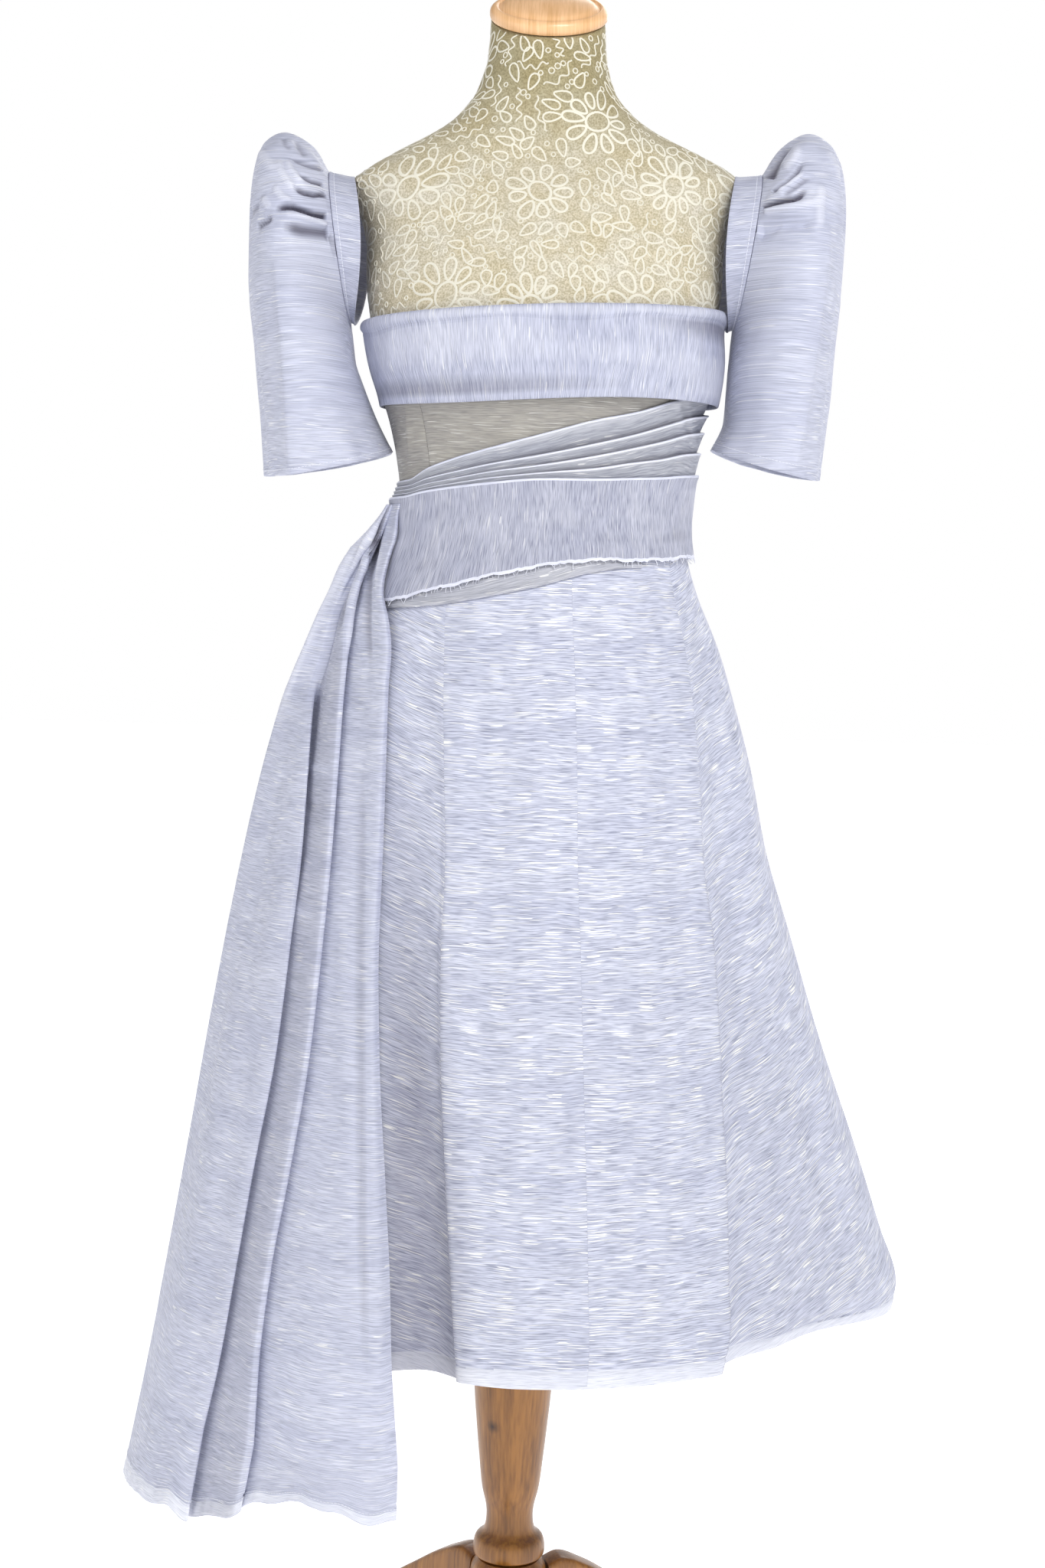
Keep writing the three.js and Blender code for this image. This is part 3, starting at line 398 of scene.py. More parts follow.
def soft_curve(points: Grid, steps: int) -> Grid:
    """Soft curve through points.

    Args:
        points: array (count, size of a point) or (count, others, size).
        steps: steps per span.

    Returns:
        The denser points, first and last kept.
    """
    p = np.asarray(points, float)
    ends = np.concatenate([2 * p[:1] - p[1:2], p, 2 * p[-1:] - p[-2:-1]])
    gap = np.sqrt(np.maximum(np.linalg.norm(np.diff(ends, axis=0), axis=-1, keepdims=True), 1e-6))
    rows = []
    for i in range(1, len(ends) - 2):
        d0, d1, d2 = gap[i - 1], gap[i], gap[i + 1]
        a, b = ends[i], ends[i + 1]
        m1 = d1 * ((a - ends[i - 1]) / d0 - (b - ends[i - 1]) / (d0 + d1) + (b - a) / d1)
        m2 = d1 * ((b - a) / d1 - (ends[i + 2] - a) / (d1 + d2) + (ends[i + 2] - b) / d2)
        for k in range(steps):
            t = k / steps
            rows.append(
                (2 * t**3 - 3 * t * t + 1) * a + (t**3 - 2 * t * t + t) * m1
                + (3 * t * t - 2 * t**3) * b + (t**3 - t * t) * m2
            )
    rows.append(p[-1])
    return np.array(rows)


def grid_normals(points: Grid, closed: bool) -> Grid:
    """Outward directions of a grid of points.

    Args:
        points: rows of points.
        closed: whether each row runs round into a ring.

    Returns:
        One direction of length one per point.
    """
    if closed:
        across = np.roll(points, -1, 1) - np.roll(points, 1, 1)
    else:
        across = np.gradient(points, axis=1)
    normals = np.cross(across, np.gradient(points, axis=0))
    normals /= np.maximum(np.linalg.norm(normals, axis=-1, keepdims=True), 1e-9)
    centre = points.mean(axis=1, keepdims=True) if closed else np.zeros(3)
    away = (points - centre)[..., :2]
    facing = np.sum(normals[..., :2] * away)
    return normals if facing > 0 else -normals


def crease_relief(points: Grid, normals: Grid, creases: Sequence[Crease]) -> Grid:
    """Height that the listed creases add along the normals.

    Args:
        points: grid of points, in millimetres.
        normals: their outward directions.
        creases: the ridges and troughs.

    Returns:
        One height per point.
    """
    total = np.zeros(points.shape[:2])
    for crease in creases:
        across, depth, way = crease.side.value
        u, v = points[..., across], points[..., 2]
        line = np.array(crease.line, float)
        spans = np.diff(line, axis=0)
        runs = np.linalg.norm(spans, axis=1)
        start = np.concatenate([[0], np.cumsum(runs)])
        best = np.full(u.shape, np.inf)
        handed = np.zeros(u.shape)
        along = np.zeros(u.shape)
        for k, (span, run) in enumerate(zip(spans, runs)):
            du, dv = u - line[k, 0], v - line[k, 1]
            share = np.clip((du * span[0] + dv * span[1]) / run**2, 0, 1)
            gap = np.hypot(du - share * span[0], dv - share * span[1])
            closer = gap < best
            best = np.where(closer, gap, best)
            handed = np.where(closer, du * span[1] - dv * span[0], handed)
            along = np.where(closer, start[k] + share * run, along)
        share = along / start[-1]
        fade = ease(share / crease.fade[0]) * ease((1 - share) / crease.fade[1])
        width = np.where(handed > 0, crease.width * crease.lean, crease.width)
        facing = ease(normals[..., depth] * way / 0.3)
        total += crease.height * bump(best / width) * fade * facing
    return total


def hollows(off: Grid, reach: int = 4) -> Grid:
    """How far each row of offsets lies above the rows around it, in millimetres."""
    padded = np.pad(off, ((reach, reach), (0, 0)), mode="edge")
    span = 2 * reach + 1
    return off - sum(padded[k : k + len(off)] for k in range(span)) / span


def surface_uv(points: Grid, closed: bool, slant: float = 0.0) -> Grid:
    """Lengths across and down a grid of points, in millimetres, for a pattern to follow.

    A piece that runs round keeps its threads straight down its columns.

    Args:
        points: rows of points.
        closed: whether each row runs round into a ring.
        slant: rise of the weft per millimetre across.

    Returns:
        One pair per point, with one more column where the rows are closed.
    """
    full = np.concatenate([points, points[:, :1]], axis=1) if closed else points
    across = np.cumsum(np.linalg.norm(np.diff(full, axis=1), axis=-1), axis=1)
    across = np.concatenate([np.zeros((len(full), 1)), across], axis=1)
    if closed:
        across = np.broadcast_to(across.mean(axis=0), across.shape).copy()
    across -= across[:, across.shape[1] // 2][:, None]
    down = np.cumsum(np.linalg.norm(np.diff(full, axis=0), axis=-1), axis=0)
    down = np.concatenate([np.zeros((1, full.shape[1])), down]).mean(axis=1, keepdims=True)
    return np.stack([across, -down - slant * across], -1)


def mesh_object(
    name: str, points: Grid, faces: Sequence[Sequence[int]], uv: Grid | None, crisp: float = 60
) -> Piece:
    """Makes one closed mesh in metres, with its faces turned outwards.

    Args:
        name: piece name.
        points: vertices, in millimetres.
        faces: vertex numbers of every face.
        uv: a pair per face corner, or None.
        crisp: angle in degrees past which an edge stays sharp.

    Returns:
        The new object, linked to the scene.
    """
    volume = 0.0
    for size in (3, 4):
        some = np.array([face for face in faces if len(face) == size], int)
        if len(some):
            corners = points[some]
            for k in range(1, size - 1):
                turned = np.cross(corners[:, k], corners[:, k + 1])
                volume += float(np.einsum("ij,ij->", corners[:, 0], turned))
    if volume < 0:
        faces = [tuple(reversed(face)) for face in faces]
        if uv is not None:
            ends = np.cumsum([len(face) for face in faces]) - 1
            spans = [np.arange(end, end - len(face), -1) for end, face in zip(ends, faces)]
            uv = uv[np.concatenate(spans)]
    mesh = bpy.data.meshes.new(name)
    mesh.from_pydata((points * MILLIMETRE).tolist(), [], [list(map(int, face)) for face in faces])
    if uv is not None:
        layer = mesh.uv_layers.new(name="cloth")
        layer.data.foreach_set("uv", np.ascontiguousarray(uv, np.float32).ravel())
    mesh.shade_smooth()
    mesh.set_sharp_from_angle(angle=math.radians(crisp))
    mesh.validate()
    obj = bpy.data.objects.new(name, mesh)
    bpy.context.scene.collection.objects.link(obj)
    return obj


def walls(middle: Grid, normals: Grid, relief: Grid, thickness: float) -> tuple[Grid, Grid]:
    """Outer and inner face of a cloth wall about its middle face."""
    outer = middle + normals * (relief + thickness / 2)[..., None]
    return outer, middle + normals * (relief - thickness / 2)[..., None]


def looped(line: Grid) -> Grid:
    """Line of points that ends where it starts."""
    return np.concatenate([line, line[:1]])


def lengths(points: Grid) -> Grid:
    """Length of a line of points up to each of them."""
    return np.concatenate([[0], np.cumsum(np.linalg.norm(np.diff(points, axis=0), axis=1))])


def shell(
    name: str, outer: Grid, inner: Grid, closed: bool, slant: float = 0.0,
    uv: Grid | None = None, fold_shading: Grid | None = None,
) -> Piece:
    """Closed cloth wall between two grids, with rounded edges.

    Args:
        name: piece name.
        outer: outer face, rows of points.
        inner: inner face, the same size.
        closed: whether each row runs round into a ring.
        slant: rise of the weft per millimetre across.
        uv: lengths to use in place of the grid's own.
        fold_shading: per point, painted shade below nought in the hollows of folds, and a painted
            highlight above it on their ridges.

    Returns:
        The new object with a UV map in millimetres of cloth.
    """
    rows, wide = outer.shape[:2]
    bulge = 0.35

    def nose(edge: Grid, back: Grid, onward: Grid) -> list[Grid]:
        """Two rows that round an edge of the cloth."""
        thick = np.linalg.norm(edge - back, axis=-1, keepdims=True)
        ahead = onward / np.maximum(np.linalg.norm(onward, axis=-1, keepdims=True), 1e-9)
        return [edge + (back - edge) * s + ahead * thick * bulge for s in (0.25, 0.75)]

    low = nose(outer[-1], inner[-1], outer[-1] - outer[-2])
    top = nose(outer[0], inner[0], outer[0] - outer[1])
    ring = np.concatenate([outer, np.array(low), inner[::-1], np.array(top[::-1])])
    uv = surface_uv(outer, closed, slant) if uv is None else uv
    ring_uv = np.concatenate([uv, uv[-1:], uv[-1:], uv[::-1], uv[:1], uv[:1]])
    count = len(ring)
    i, j = np.meshgrid(np.arange(count), np.arange(wide if closed else wide - 1), indexing="ij")
    i, j = i.ravel(), j.ravel()
    i2, j2 = (i + 1) % count, j + 1
    faces = np.stack([i * wide + j, i2 * wide + j, i2 * wide + j2 % wide, i * wide + j2 % wide], 1)
    corners = np.stack([ring_uv[i, j], ring_uv[i2, j], ring_uv[i2, j2], ring_uv[i, j2]], 1)
    if not closed:
        k = np.arange(rows - 1)
        back = 2 * rows + 1 - k
        cap = np.stack([k + 1, k, back, back - 1], 1)
        cap = np.concatenate([
            cap,
            [[rows + 2, rows + 1, rows, rows - 1]],
            [[0, count - 1, count - 2, count - 3]],
        ])
        for column, turned in ((0, False), (wide - 1, True)):
            quad = cap[:, ::-1] if turned else cap
            faces = np.concatenate([faces, quad * wide + column])
            corners = np.concatenate([corners, ring_uv[quad, column]])
    obj = mesh_object(name, ring.reshape(-1, 3), faces.tolist(), corners.reshape(-1, 2))
    if fold_shading is not None:
        depth = np.concatenate([fold_shading, fold_shading[-1:], fold_shading[-1:], fold_shading[::-1], fold_shading[:1], fold_shading[:1]])
        layer = obj.data.attributes.new("fold_shading", "FLOAT", "POINT")
        layer.data.foreach_set("value", np.ascontiguousarray(depth, np.float32).ravel())
    return obj


def lofted(name: str, rings: Grid, crisp: float = 60) -> Piece:
    """Solid through closed rings, closed by a point at each end.

    Args:
        name: piece name.
        rings: rows of points, each running round.
        crisp: angle past which an edge stays sharp.

    Returns:
        The new object with a UV map in millimetres.
    """
    rows, wide = rings.shape[:2]
    uv = surface_uv(rings, True)
    i, j = np.meshgrid(np.arange(rows - 1), np.arange(wide), indexing="ij")
    i, j = i.ravel(), j.ravel()
    j2 = j + 1
    faces = np.stack(
        [i * wide + j, (i + 1) * wide + j, (i + 1) * wide + j2 % wide, i * wide + j2 % wide], 1
    ).tolist()
    corners = [np.stack([uv[i, j], uv[i + 1, j], uv[i + 1, j2], uv[i, j2]], 1).reshape(-1, 2)]
    points = [rings.reshape(-1, 3), rings[:1].mean(axis=1), rings[-1:].mean(axis=1)]
    for row, pole, turned in ((0, rows * wide, False), (rows - 1, rows * wide + 1, True)):
        for k in range(wide):
            face = [row * wide + k, row * wide + (k + 1) % wide, pole]
            pair = [uv[row, k], uv[row, k + 1], uv[row].mean(axis=0)]
            faces.append(face[::-1] if turned else face)
            corners.append(np.array(pair[::-1] if turned else pair))
    return mesh_object(name, np.concatenate(points), faces, np.concatenate(corners), crisp)


def lathe(profile: Grid, steps: int = 96) -> Grid:
    """Rings of a turned solid from radii and heights."""
    turn = np.linspace(0, 2 * np.pi, steps, endpoint=False)
    r, z = profile[:, :1], profile[:, 1:]
    return np.stack([r * np.sin(turn), -r * np.cos(turn), np.broadcast_to(z, (len(z), steps))], -1)


def turned_profile(profile: Line, steps: int) -> Grid:
    """Profile with its round parts softened and its flat ends kept."""
    body = soft_curve(np.array(profile[1:-1], float), steps)
    near = [[body[0, 0] * 0.5, profile[0][1]], *body.tolist(), [body[-1, 0] * 0.5, profile[-1][1]]]
    return np.array(near)


# Finishes


def linear(hex_colour: str) -> tuple[float, float, float, float]:
    """Linear colour of an sRGB hex value."""
    parts = [int(hex_colour[k : k + 2], 16) / 255 for k in (1, 3, 5)]
    return (*[p / 12.92 if p <= 0.04045 else ((p + 0.055) / 1.055) ** 2.4 for p in parts], 1.0)


def add(
    tree: Tree, kind: str, inputs: dict | None = None, **settings: object
) -> Node:
    """Adds a node with its settings and links.

    Args:
        tree: node tree that gets the node.
        kind: node type.
        inputs: per socket name or number, a value or an output to link.
        settings: the node's own properties.

    Returns:
        The new node.
    """
    node = tree.nodes.new(kind)
    for key, value in settings.items():
        setattr(node, key, value)
    for key, value in (inputs or {}).items():
        if isinstance(value, Socket):
            tree.links.new(value, node.inputs[key])
        else:
            node.inputs[key].default_value = value
    return node


def ramp(
    tree: Tree, factor: Socket, low: float, high: float,
    dark: str = "#000000", light: str = "#ffffff",
) -> Socket:
    """Colour ramp between two levels of a factor; returns its colour."""
    node = add(tree, "ShaderNodeValToRGB", {"Fac": factor})
    first, last = node.color_ramp.elements
    first.position, last.position = low, high
    first.color, last.color = linear(dark), linear(light)
    return node.outputs["Color"]


def mix(
    tree: Tree, factor: object, a: object, b: object, blend: str = "MIX"
) -> Socket:
    """Mix of two colours; returns its colour."""
    node = add(tree, "ShaderNodeMix", {0: factor, 6: a, 7: b}, data_type="RGBA", blend_type=blend)
    return node.outputs[2]


def span(
    tree: Tree, value: Socket, low: float, high: float,
    start: float = 0.0, end: float = 1.0,
) -> Socket:
    """Value carried from one range over to another and kept within it."""
    limits = {"From Min": low, "From Max": high, "To Min": start, "To Max": end}
    return add(tree, "ShaderNodeMapRange", {"Value": value, **limits}).outputs[0]


def times(
    tree: Tree, value: Socket, factor: float
) -> Socket:
    """Value times a factor."""
    return add(tree, "ShaderNodeMath", {0: value, 1: factor}, operation="MULTIPLY").outputs[0]


def finish_shader(tree: Tree, shader: Node, inputs: dict) -> None:
    """Sets the shader's sockets by name, to a value or to an output to link."""
    for key, value in inputs.items():
        if isinstance(value, Socket):
            tree.links.new(value, shader.inputs[key])
        else:
            shader.inputs[key].default_value = value


def raised(
    tree: Tree, height: Socket, strength: float, distance: float
) -> Socket:
    """Normal of a fine relief, its distance in metres."""
    inputs = {"Height": height, "Strength": strength, "Distance": distance}
    return add(tree, "ShaderNodeBump", inputs).outputs[0]


def stretched(
    tree: Tree, vector: Socket, size: tuple[float, float, float],
    detail: float = 1.0, shift: float = 0.0,
) -> Socket:
    """Noise whose grains have the given size in the vector's units; returns its value."""
    scale = tuple(1 / s for s in size)
    moved = {"Vector": vector, "Location": (shift, shift, 0), "Scale": scale}
    place = add(tree, "ShaderNodeMapping", moved).outputs[0]
    noise = {"Vector": place, "Scale": 1.0, "Detail": detail}
    return add(tree, "ShaderNodeTexNoise", noise).outputs["Fac"]


def new_material(name: str) -> tuple[Material, Tree, Node]:
    """Empty material with its tree and its shader."""
    material = bpy.data.materials.new(name)
    material.use_nodes = True
    tree = material.node_tree
    tree.nodes.clear()
    shader = tree.nodes.new("ShaderNodeBsdfPrincipled")
    add(tree, "ShaderNodeOutputMaterial", {"Surface": shader.outputs[0]})
    return material, tree, shader


@dataclass(frozen=True)
class SlubCloth:
    """Jusi-like plain weave with slubbed weft and loose silver lurex threads.

    It gives the eye fine dark and light lines one way of the cloth, short bright dashes and a
    soft sheen where it turns away. Threads of about 0.4 mm are drawn 0.8 to 1 mm thick, because
    the picture shows no finer line. Dashes is the level above which a silver thread shows, and
    the two gains are the strength of the dashes and of the fine lines.
    """

    name: str
    light: str
    dark: str
    weave: Weave = Weave.ACROSS
    dashes: float = 0.645
    dash_gain: float = 0.9
    line_gain: float = 1.0

    def build(self) -> Material:
        """Makes the material; returns it."""
        material, tree, shader = new_material(self.name)
        cloth = add(tree, "ShaderNodeUVMap", uv_map="cloth")
        turn = 0.0 if self.weave is Weave.ACROSS else math.pi / 2
        turned = add(
            tree, "ShaderNodeMapping", {"Vector": cloth.outputs[0], "Rotation": (0, 0, turn)}
        ).outputs[0]
        # Slubs wander by about 2 mm over 60 mm
        wander = add(
            tree, "ShaderNodeTexNoise", {"Vector": turned, "Scale": 1 / 60, "Detail": 1.0}
        )
        thread = add(
            tree, "ShaderNodeVectorMath",
            {0: wander.outputs["Color"], 1: (0.0, 9.0, 0.0), 2: turned}, operation="MULTIPLY_ADD",
        ).outputs[0]
        # Grain along and across the thread in millimetres, detail, and a shift of its own
        slub = stretched(tree, thread, (30, 1.0, 1), 2.0)
        fine = stretched(tree, thread, (14, 0.8, 1), 1.0, 31)
        patch = stretched(tree, thread, (120, 26, 1), 2.0, 77)
        dash = stretched(tree, thread, (24, 0.95, 1), 0.0, 13)
        group = stretched(tree, thread, (70, 9, 1), 1.0, 51)
        lines = ramp(tree, slub, 0.34, 0.62)
        ground = mix(tree, lines, linear(self.dark), linear(self.light))
        finer = ramp(tree, fine, 0.32, 0.54, "#b1b4c0", "#ffffff")
        ground = mix(tree, 0.75 * self.line_gain, ground, finer, "MULTIPLY")
        cloudy = ramp(tree, patch, 0.3, 0.7, "#ecedf2", "#ffffff")
        ground = mix(tree, 1.0, ground, cloudy, "MULTIPLY")
        spark = ramp(tree, dash, self.dashes, self.dashes + 0.03)
        where = ramp(tree, group, 0.38, 0.52)
        silver = times(tree, mix(tree, 1.0, spark, where, "MULTIPLY"), self.dash_gain)
        colour = mix(tree, silver, ground, linear("#fffefa"))
        # Painted shade darkens cloth in the hollow of a fold; the ridge of a fold is drawn paler,
        # partly for the double layer of cloth and partly as a painted highlight
        fold_shading = add(tree, "ShaderNodeAttribute", attribute_name="fold_shading").outputs["Fac"]
        deep = span(tree, fold_shading, -0.15, -1.0)
        colour = mix(tree, deep, colour, linear("#7d7880"), "MULTIPLY")
        crest = span(tree, fold_shading, 0.1, 1.0, 0.0, 0.8)
        colour = mix(tree, crest, colour, linear("#f6f7fe"))
        finish_shader(tree, shader, {
            "Base Color": colour,
            "Roughness": span(tree, silver, 0.0, 1.0, 0.62, 0.42),
            "Metallic": times(tree, silver, 0.35),
            "Sheen Weight": 0.18,
            "Sheen Roughness": 0.4,
            "Sheen Tint": linear("#eef0ff"),
            "Normal": raised(tree, mix(tree, 0.5, slub, fine), 0.55, 0.0012),
        })
        return material


@dataclass(frozen=True)
class PrintedCotton:
    """Medium cotton cover of the form: matt, with a stippled ground of 1.5 mm specks."""

    name: str = "stippled_cotton_cover"
    light: str = "#d6d0c2"
    dark: str = "#b2ab96"

    def build(self) -> Material:
        """Makes the material; returns it."""
        material, tree, shader = new_material(self.name)
        place = add(tree, "ShaderNodeTexCoord")
        specks = stretched(tree, place.outputs["Object"], (0.0017, 0.0017, 0.0017), 2.0)
        cloud = stretched(tree, place.outputs["Object"], (0.03, 0.03, 0.03), 2.0, 5)
        ground = ramp(tree, specks, 0.38, 0.62, self.dark, self.light)
        warm = ramp(tree, cloud, 0.35, 0.7, "#f3ecd8", "#ffffff")
        colour = mix(tree, 0.8, ground, warm, "MULTIPLY")
        # Painted shade: the cover is drawn darker and greyer towards the neck
        height = add(tree, "ShaderNodeSeparateXYZ", {0: place.outputs["Object"]}).outputs["Z"]
        neck = ramp(tree, span(tree, height, 1.46, 1.56), 0.0, 1.0, "#ffffff", "#c9c4aa")
        finish_shader(tree, shader, {
            "Base Color": mix(tree, 1.0, colour, neck, "MULTIPLY"),
            "Roughness": 0.85,
            "Sheen Weight": 0.1,
            "Normal": raised(tree, specks, 0.4, 0.0006),
        })
        return material


@dataclass(frozen=True)
class PlainThread:
    """Cotton or polyester thread, matt and even."""

    name: str
    colour: str
    roughness: float = 0.75

    def build(self) -> Material:
        """Makes the material; returns it."""
        material, tree, shader = new_material(self.name)
        finish_shader(
            tree, shader, {"Base Color": linear(self.colour), "Roughness": self.roughness}
        )
        return material


@dataclass(frozen=True)
class VarnishedWood:
    """Turned and varnished wood: grain lines of 2 to 3 mm along the piece, a soft gloss."""

    name: str
    light: str
    dark: str
    grain: tuple[float, float, float]
    knot: tuple[float, float, float] | None = None

    def build(self) -> Material:
        """Makes the material; returns it."""
        material, tree, shader = new_material(self.name)
        place = add(tree, "ShaderNodeTexCoord").outputs["Object"]
        lines = stretched(tree, place, self.grain, 3.0)
        broad = stretched(tree, place, tuple(5 * g for g in self.grain), 1.0, 3)
        both = mix(tree, 0.45, lines, broad)
        colour = ramp(tree, both, 0.36, 0.62, self.dark, self.light)
        if self.knot:
            gap = add(tree, "ShaderNodeVectorMath", {0: place, 1: self.knot}, operation="DISTANCE")
            spot = ramp(tree, gap.outputs["Value"], 0.002, 0.0055, "#4a2c14", "#ffffff")
            colour = mix(tree, 1.0, colour, spot, "MULTIPLY")
        finish_shader(tree, shader, {
            "Base Color": colour,
            "Roughness": 0.38,
            "Coat Weight": 0.25,
            "Coat Roughness": 0.2,
            "Normal": raised(tree, both, 0.2, 0.0004),
        })
        return material


def finish(recipe: SlubCloth | PrintedCotton | PlainThread | VarnishedWood) -> object:
    """Field of a data class that holds a recipe's material."""
    return field(default_factory=recipe.build)


@dataclass
class Finishes:
    """All finishes of the dress, the form and the stand."""

    dress: Material = finish(SlubCloth("jusi_slub_dress", "#dfe2f2", "#b6b9ca"))
    # One layer over the cream form: warmer, and greyer with painted shade from the band above it
    single: Material = finish(SlubCloth(
        "jusi_slub_single_shaded", "#aba79f", "#96928b", dashes=0.7, dash_gain=0.4, line_gain=0.6
    ))
    pleats: Material = finish(SlubCloth(
        "jusi_slub_pleats", "#b4b6be", "#9a9ca5", dashes=0.7, dash_gain=0.4, line_gain=0.6
    ))
    band: Material = finish(SlubCloth(
        "jusi_slub_band", "#cccfe0", "#b0b3c5", Weave.DOWN, 0.68, 0.45, 0.8
    ))
    panel: Material = finish(SlubCloth(
        "jusi_slub_panel", "#bfc1d0", "#a6a8b8", Weave.DOWN, 0.7, 0.35
    ))
    facing: Material = finish(SlubCloth(
        "jusi_hem_facing", "#eff1fa", "#dfe1ec", dashes=0.7, dash_gain=0.5, line_gain=0.5
    ))
    # Whiter cloth for folded edges: partly the double layer, which lets less of the form show
    # through, and partly a painted highlight on the ridge
    fold_shading: Material = finish(SlubCloth(
        "jusi_folded_edge_and_highlight", "#eceefa", "#dfe1f0", dashes=0.75, dash_gain=0.4, line_gain=0.3
    ))
    sash: Material = finish(SlubCloth(
        "jusi_slub_sash", "#d6d9ea", "#b9bccd", dashes=0.67, dash_gain=0.5, line_gain=0.6
    ))
    sleeve: Material = finish(SlubCloth(
        "jusi_slub_sleeve", "#cfd2e3", "#b6b9c9", dashes=0.68, dash_gain=0.45, line_gain=0.45
    ))
    under: Material = finish(SlubCloth(
        "jusi_under_layer", "#c6c7cf", "#abacb4", dashes=0.68, dash_gain=0.5, line_gain=0.6
    ))
    thread: Material = finish(PlainThread("white_sewing_thread", "#e2e4ee"))
    cover: Material = finish(PrintedCotton())
    cord: Material = finish(PlainThread("raised_white_cotton_cord", "#dedacb"))
    cap: Material = finish(VarnishedWood(
        "varnished_beech_cap", "#f3c596", "#dcab76", (0.0012, 0.03, 0.03)
    ))
    pole: Material = finish(VarnishedWood(
        "varnished_oak_stand", "#a56f31", "#774b1e", (0.0028, 0.0028, 0.055),
        knot=(-0.018, -0.029, 0.305),
    ))


def dress_piece(
    obj: Piece, material: Material, nodes: Sequence[str] = ()
) -> Piece:
    """Gives a piece its finish, its body and the nodes it stands for.

    Args:
        obj: the finished piece.
        material: its finish.
        nodes: CAD nodes that it replaces.

    Returns:
        The same piece.
    """
    if not obj.data.materials:
        obj.data.materials.append(material)
    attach(obj, "root")
    if nodes:
        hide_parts(*nodes)
    LOG.info("%s: %d faces", obj.name, len(obj.data.polygons))
    return obj


def plain_mesh(obj: Piece, name: str) -> Piece:
    """Turns an object with its modifiers into a plain mesh object.

    Args:
        obj: object with live modifiers, removed here.
        name: name of the result.

    Returns:
        The plain mesh object.
    """
    bpy.context.view_layer.update()
    graph = bpy.context.evaluated_depsgraph_get()
    mesh = bpy.data.meshes.new_from_object(obj.evaluated_get(graph))
    mesh.name = name
    made = bpy.data.objects.new(name, mesh)
    bpy.context.scene.collection.objects.link(made)
    bpy.data.objects.remove(obj)
    return made


def path_object(name: str, lines: Sequence[Grid]) -> Piece:
    """Curve object with one straight-stepped spline per line of points in millimetres."""
    curve = bpy.data.curves.new(name, "CURVE")
    curve.dimensions = "3D"
    for line in lines:
        spline = curve.splines.new("POLY")
        spline.points.add(len(line) - 1)
        flat = np.concatenate([line * MILLIMETRE, np.ones((len(line), 1))], axis=1)
        spline.points.foreach_set("co", flat.ravel())
    obj = bpy.data.objects.new(name, curve)
    bpy.context.scene.collection.objects.link(obj)
    return obj


def geometry_tree(
    name: str, sizes: Sequence[tuple[str, str, object]]
) -> tuple[Tree, Node]:
    """Empty geometry tree with named inputs.

    Args:
        name: tree name.
        sizes: label, socket type and standing value of each input.

    Returns:
        The tree and its input node.
    """
    tree = bpy.data.node_groups.new(name, "GeometryNodeTree")
    tree.is_modifier = True
    face = tree.interface
    face.new_socket("Line", in_out="INPUT", socket_type="NodeSocketGeometry")
    for label, kind, value in sizes:
        socket = face.new_socket(label, in_out="INPUT", socket_type=kind)
        if value is not None:
            socket.default_value = value
    face.new_socket("Made", in_out="OUTPUT", socket_type="NodeSocketGeometry")
    return tree, tree.nodes.new("NodeGroupInput")


def finish_tree(
    tree: Tree, spread: Socket, thread: Socket
) -> None:
    """Ends a tree: instances made real and given their material."""
    real = add(tree, "GeometryNodeRealizeInstances", {"Geometry": spread})
    paint = add(tree, "GeometryNodeSetMaterial", {"Geometry": real.outputs[0], "Material": thread})
    add(tree, "NodeGroupOutput", {0: paint.outputs[0]})


@dataclass
class ThreadWork:
    """Threads that a geometry tree lays along lines on the cloth."""

    tree: Tree = field(init=False)

    def lay(self, name: str, lines: Sequence[Grid], thread: Material) -> Piece:
        """Lays the threads along lines.

        Args:
            name: piece name.
            lines: paths on the cloth, in millimetres.
            thread: finish of the threads.

        Returns:
            The threads as one plain mesh.
        """
        obj = path_object(name + "_path", lines)
        modifier = obj.modifiers.new("threads", "NODES")
        modifier.node_group = self.tree
        for item in self.tree.interface.items_tree:
            if item.in_out == "INPUT" and item.name == "Thread":
                modifier[item.identifier] = thread
        return plain_mesh(obj, name)


@dataclass
class StitchRow(ThreadWork):
    """Machine stitches along lines on the cloth."""

    pitch: float = 3.2
    stitch: float = 2.5
    radius: float = 0.32

    def __post_init__(self) -> None:
        """Builds the tree: one short thread per pitch, turned along the line."""
        tree, given = geometry_tree("stitch_row", (
            ("Pitch", "NodeSocketFloat", self.pitch * MILLIMETRE),
            ("Stitch", "NodeSocketFloat", self.stitch * MILLIMETRE),
            ("Radius", "NodeSocketFloat", self.radius * MILLIMETRE),
            ("Thread", "NodeSocketMaterial", None),
        ))
        points = add(
            tree, "GeometryNodeCurveToPoints",
            {"Curve": given.outputs["Line"], "Length": given.outputs["Pitch"]}, mode="LENGTH",
        )
        bead = add(
            tree, "GeometryNodeMeshCylinder",
            {"Vertices": 5, "Radius": given.outputs["Radius"], "Depth": given.outputs["Stitch"]},
            fill_type="TRIANGLE_FAN",
        )
        spread = add(tree, "GeometryNodeInstanceOnPoints", {
            "Points": points.outputs["Points"], "Instance": bead.outputs["Mesh"],
            "Rotation": points.outputs["Rotation"],
        })
        finish_tree(tree, spread.outputs[0], given.outputs["Thread"])
        self.tree = tree


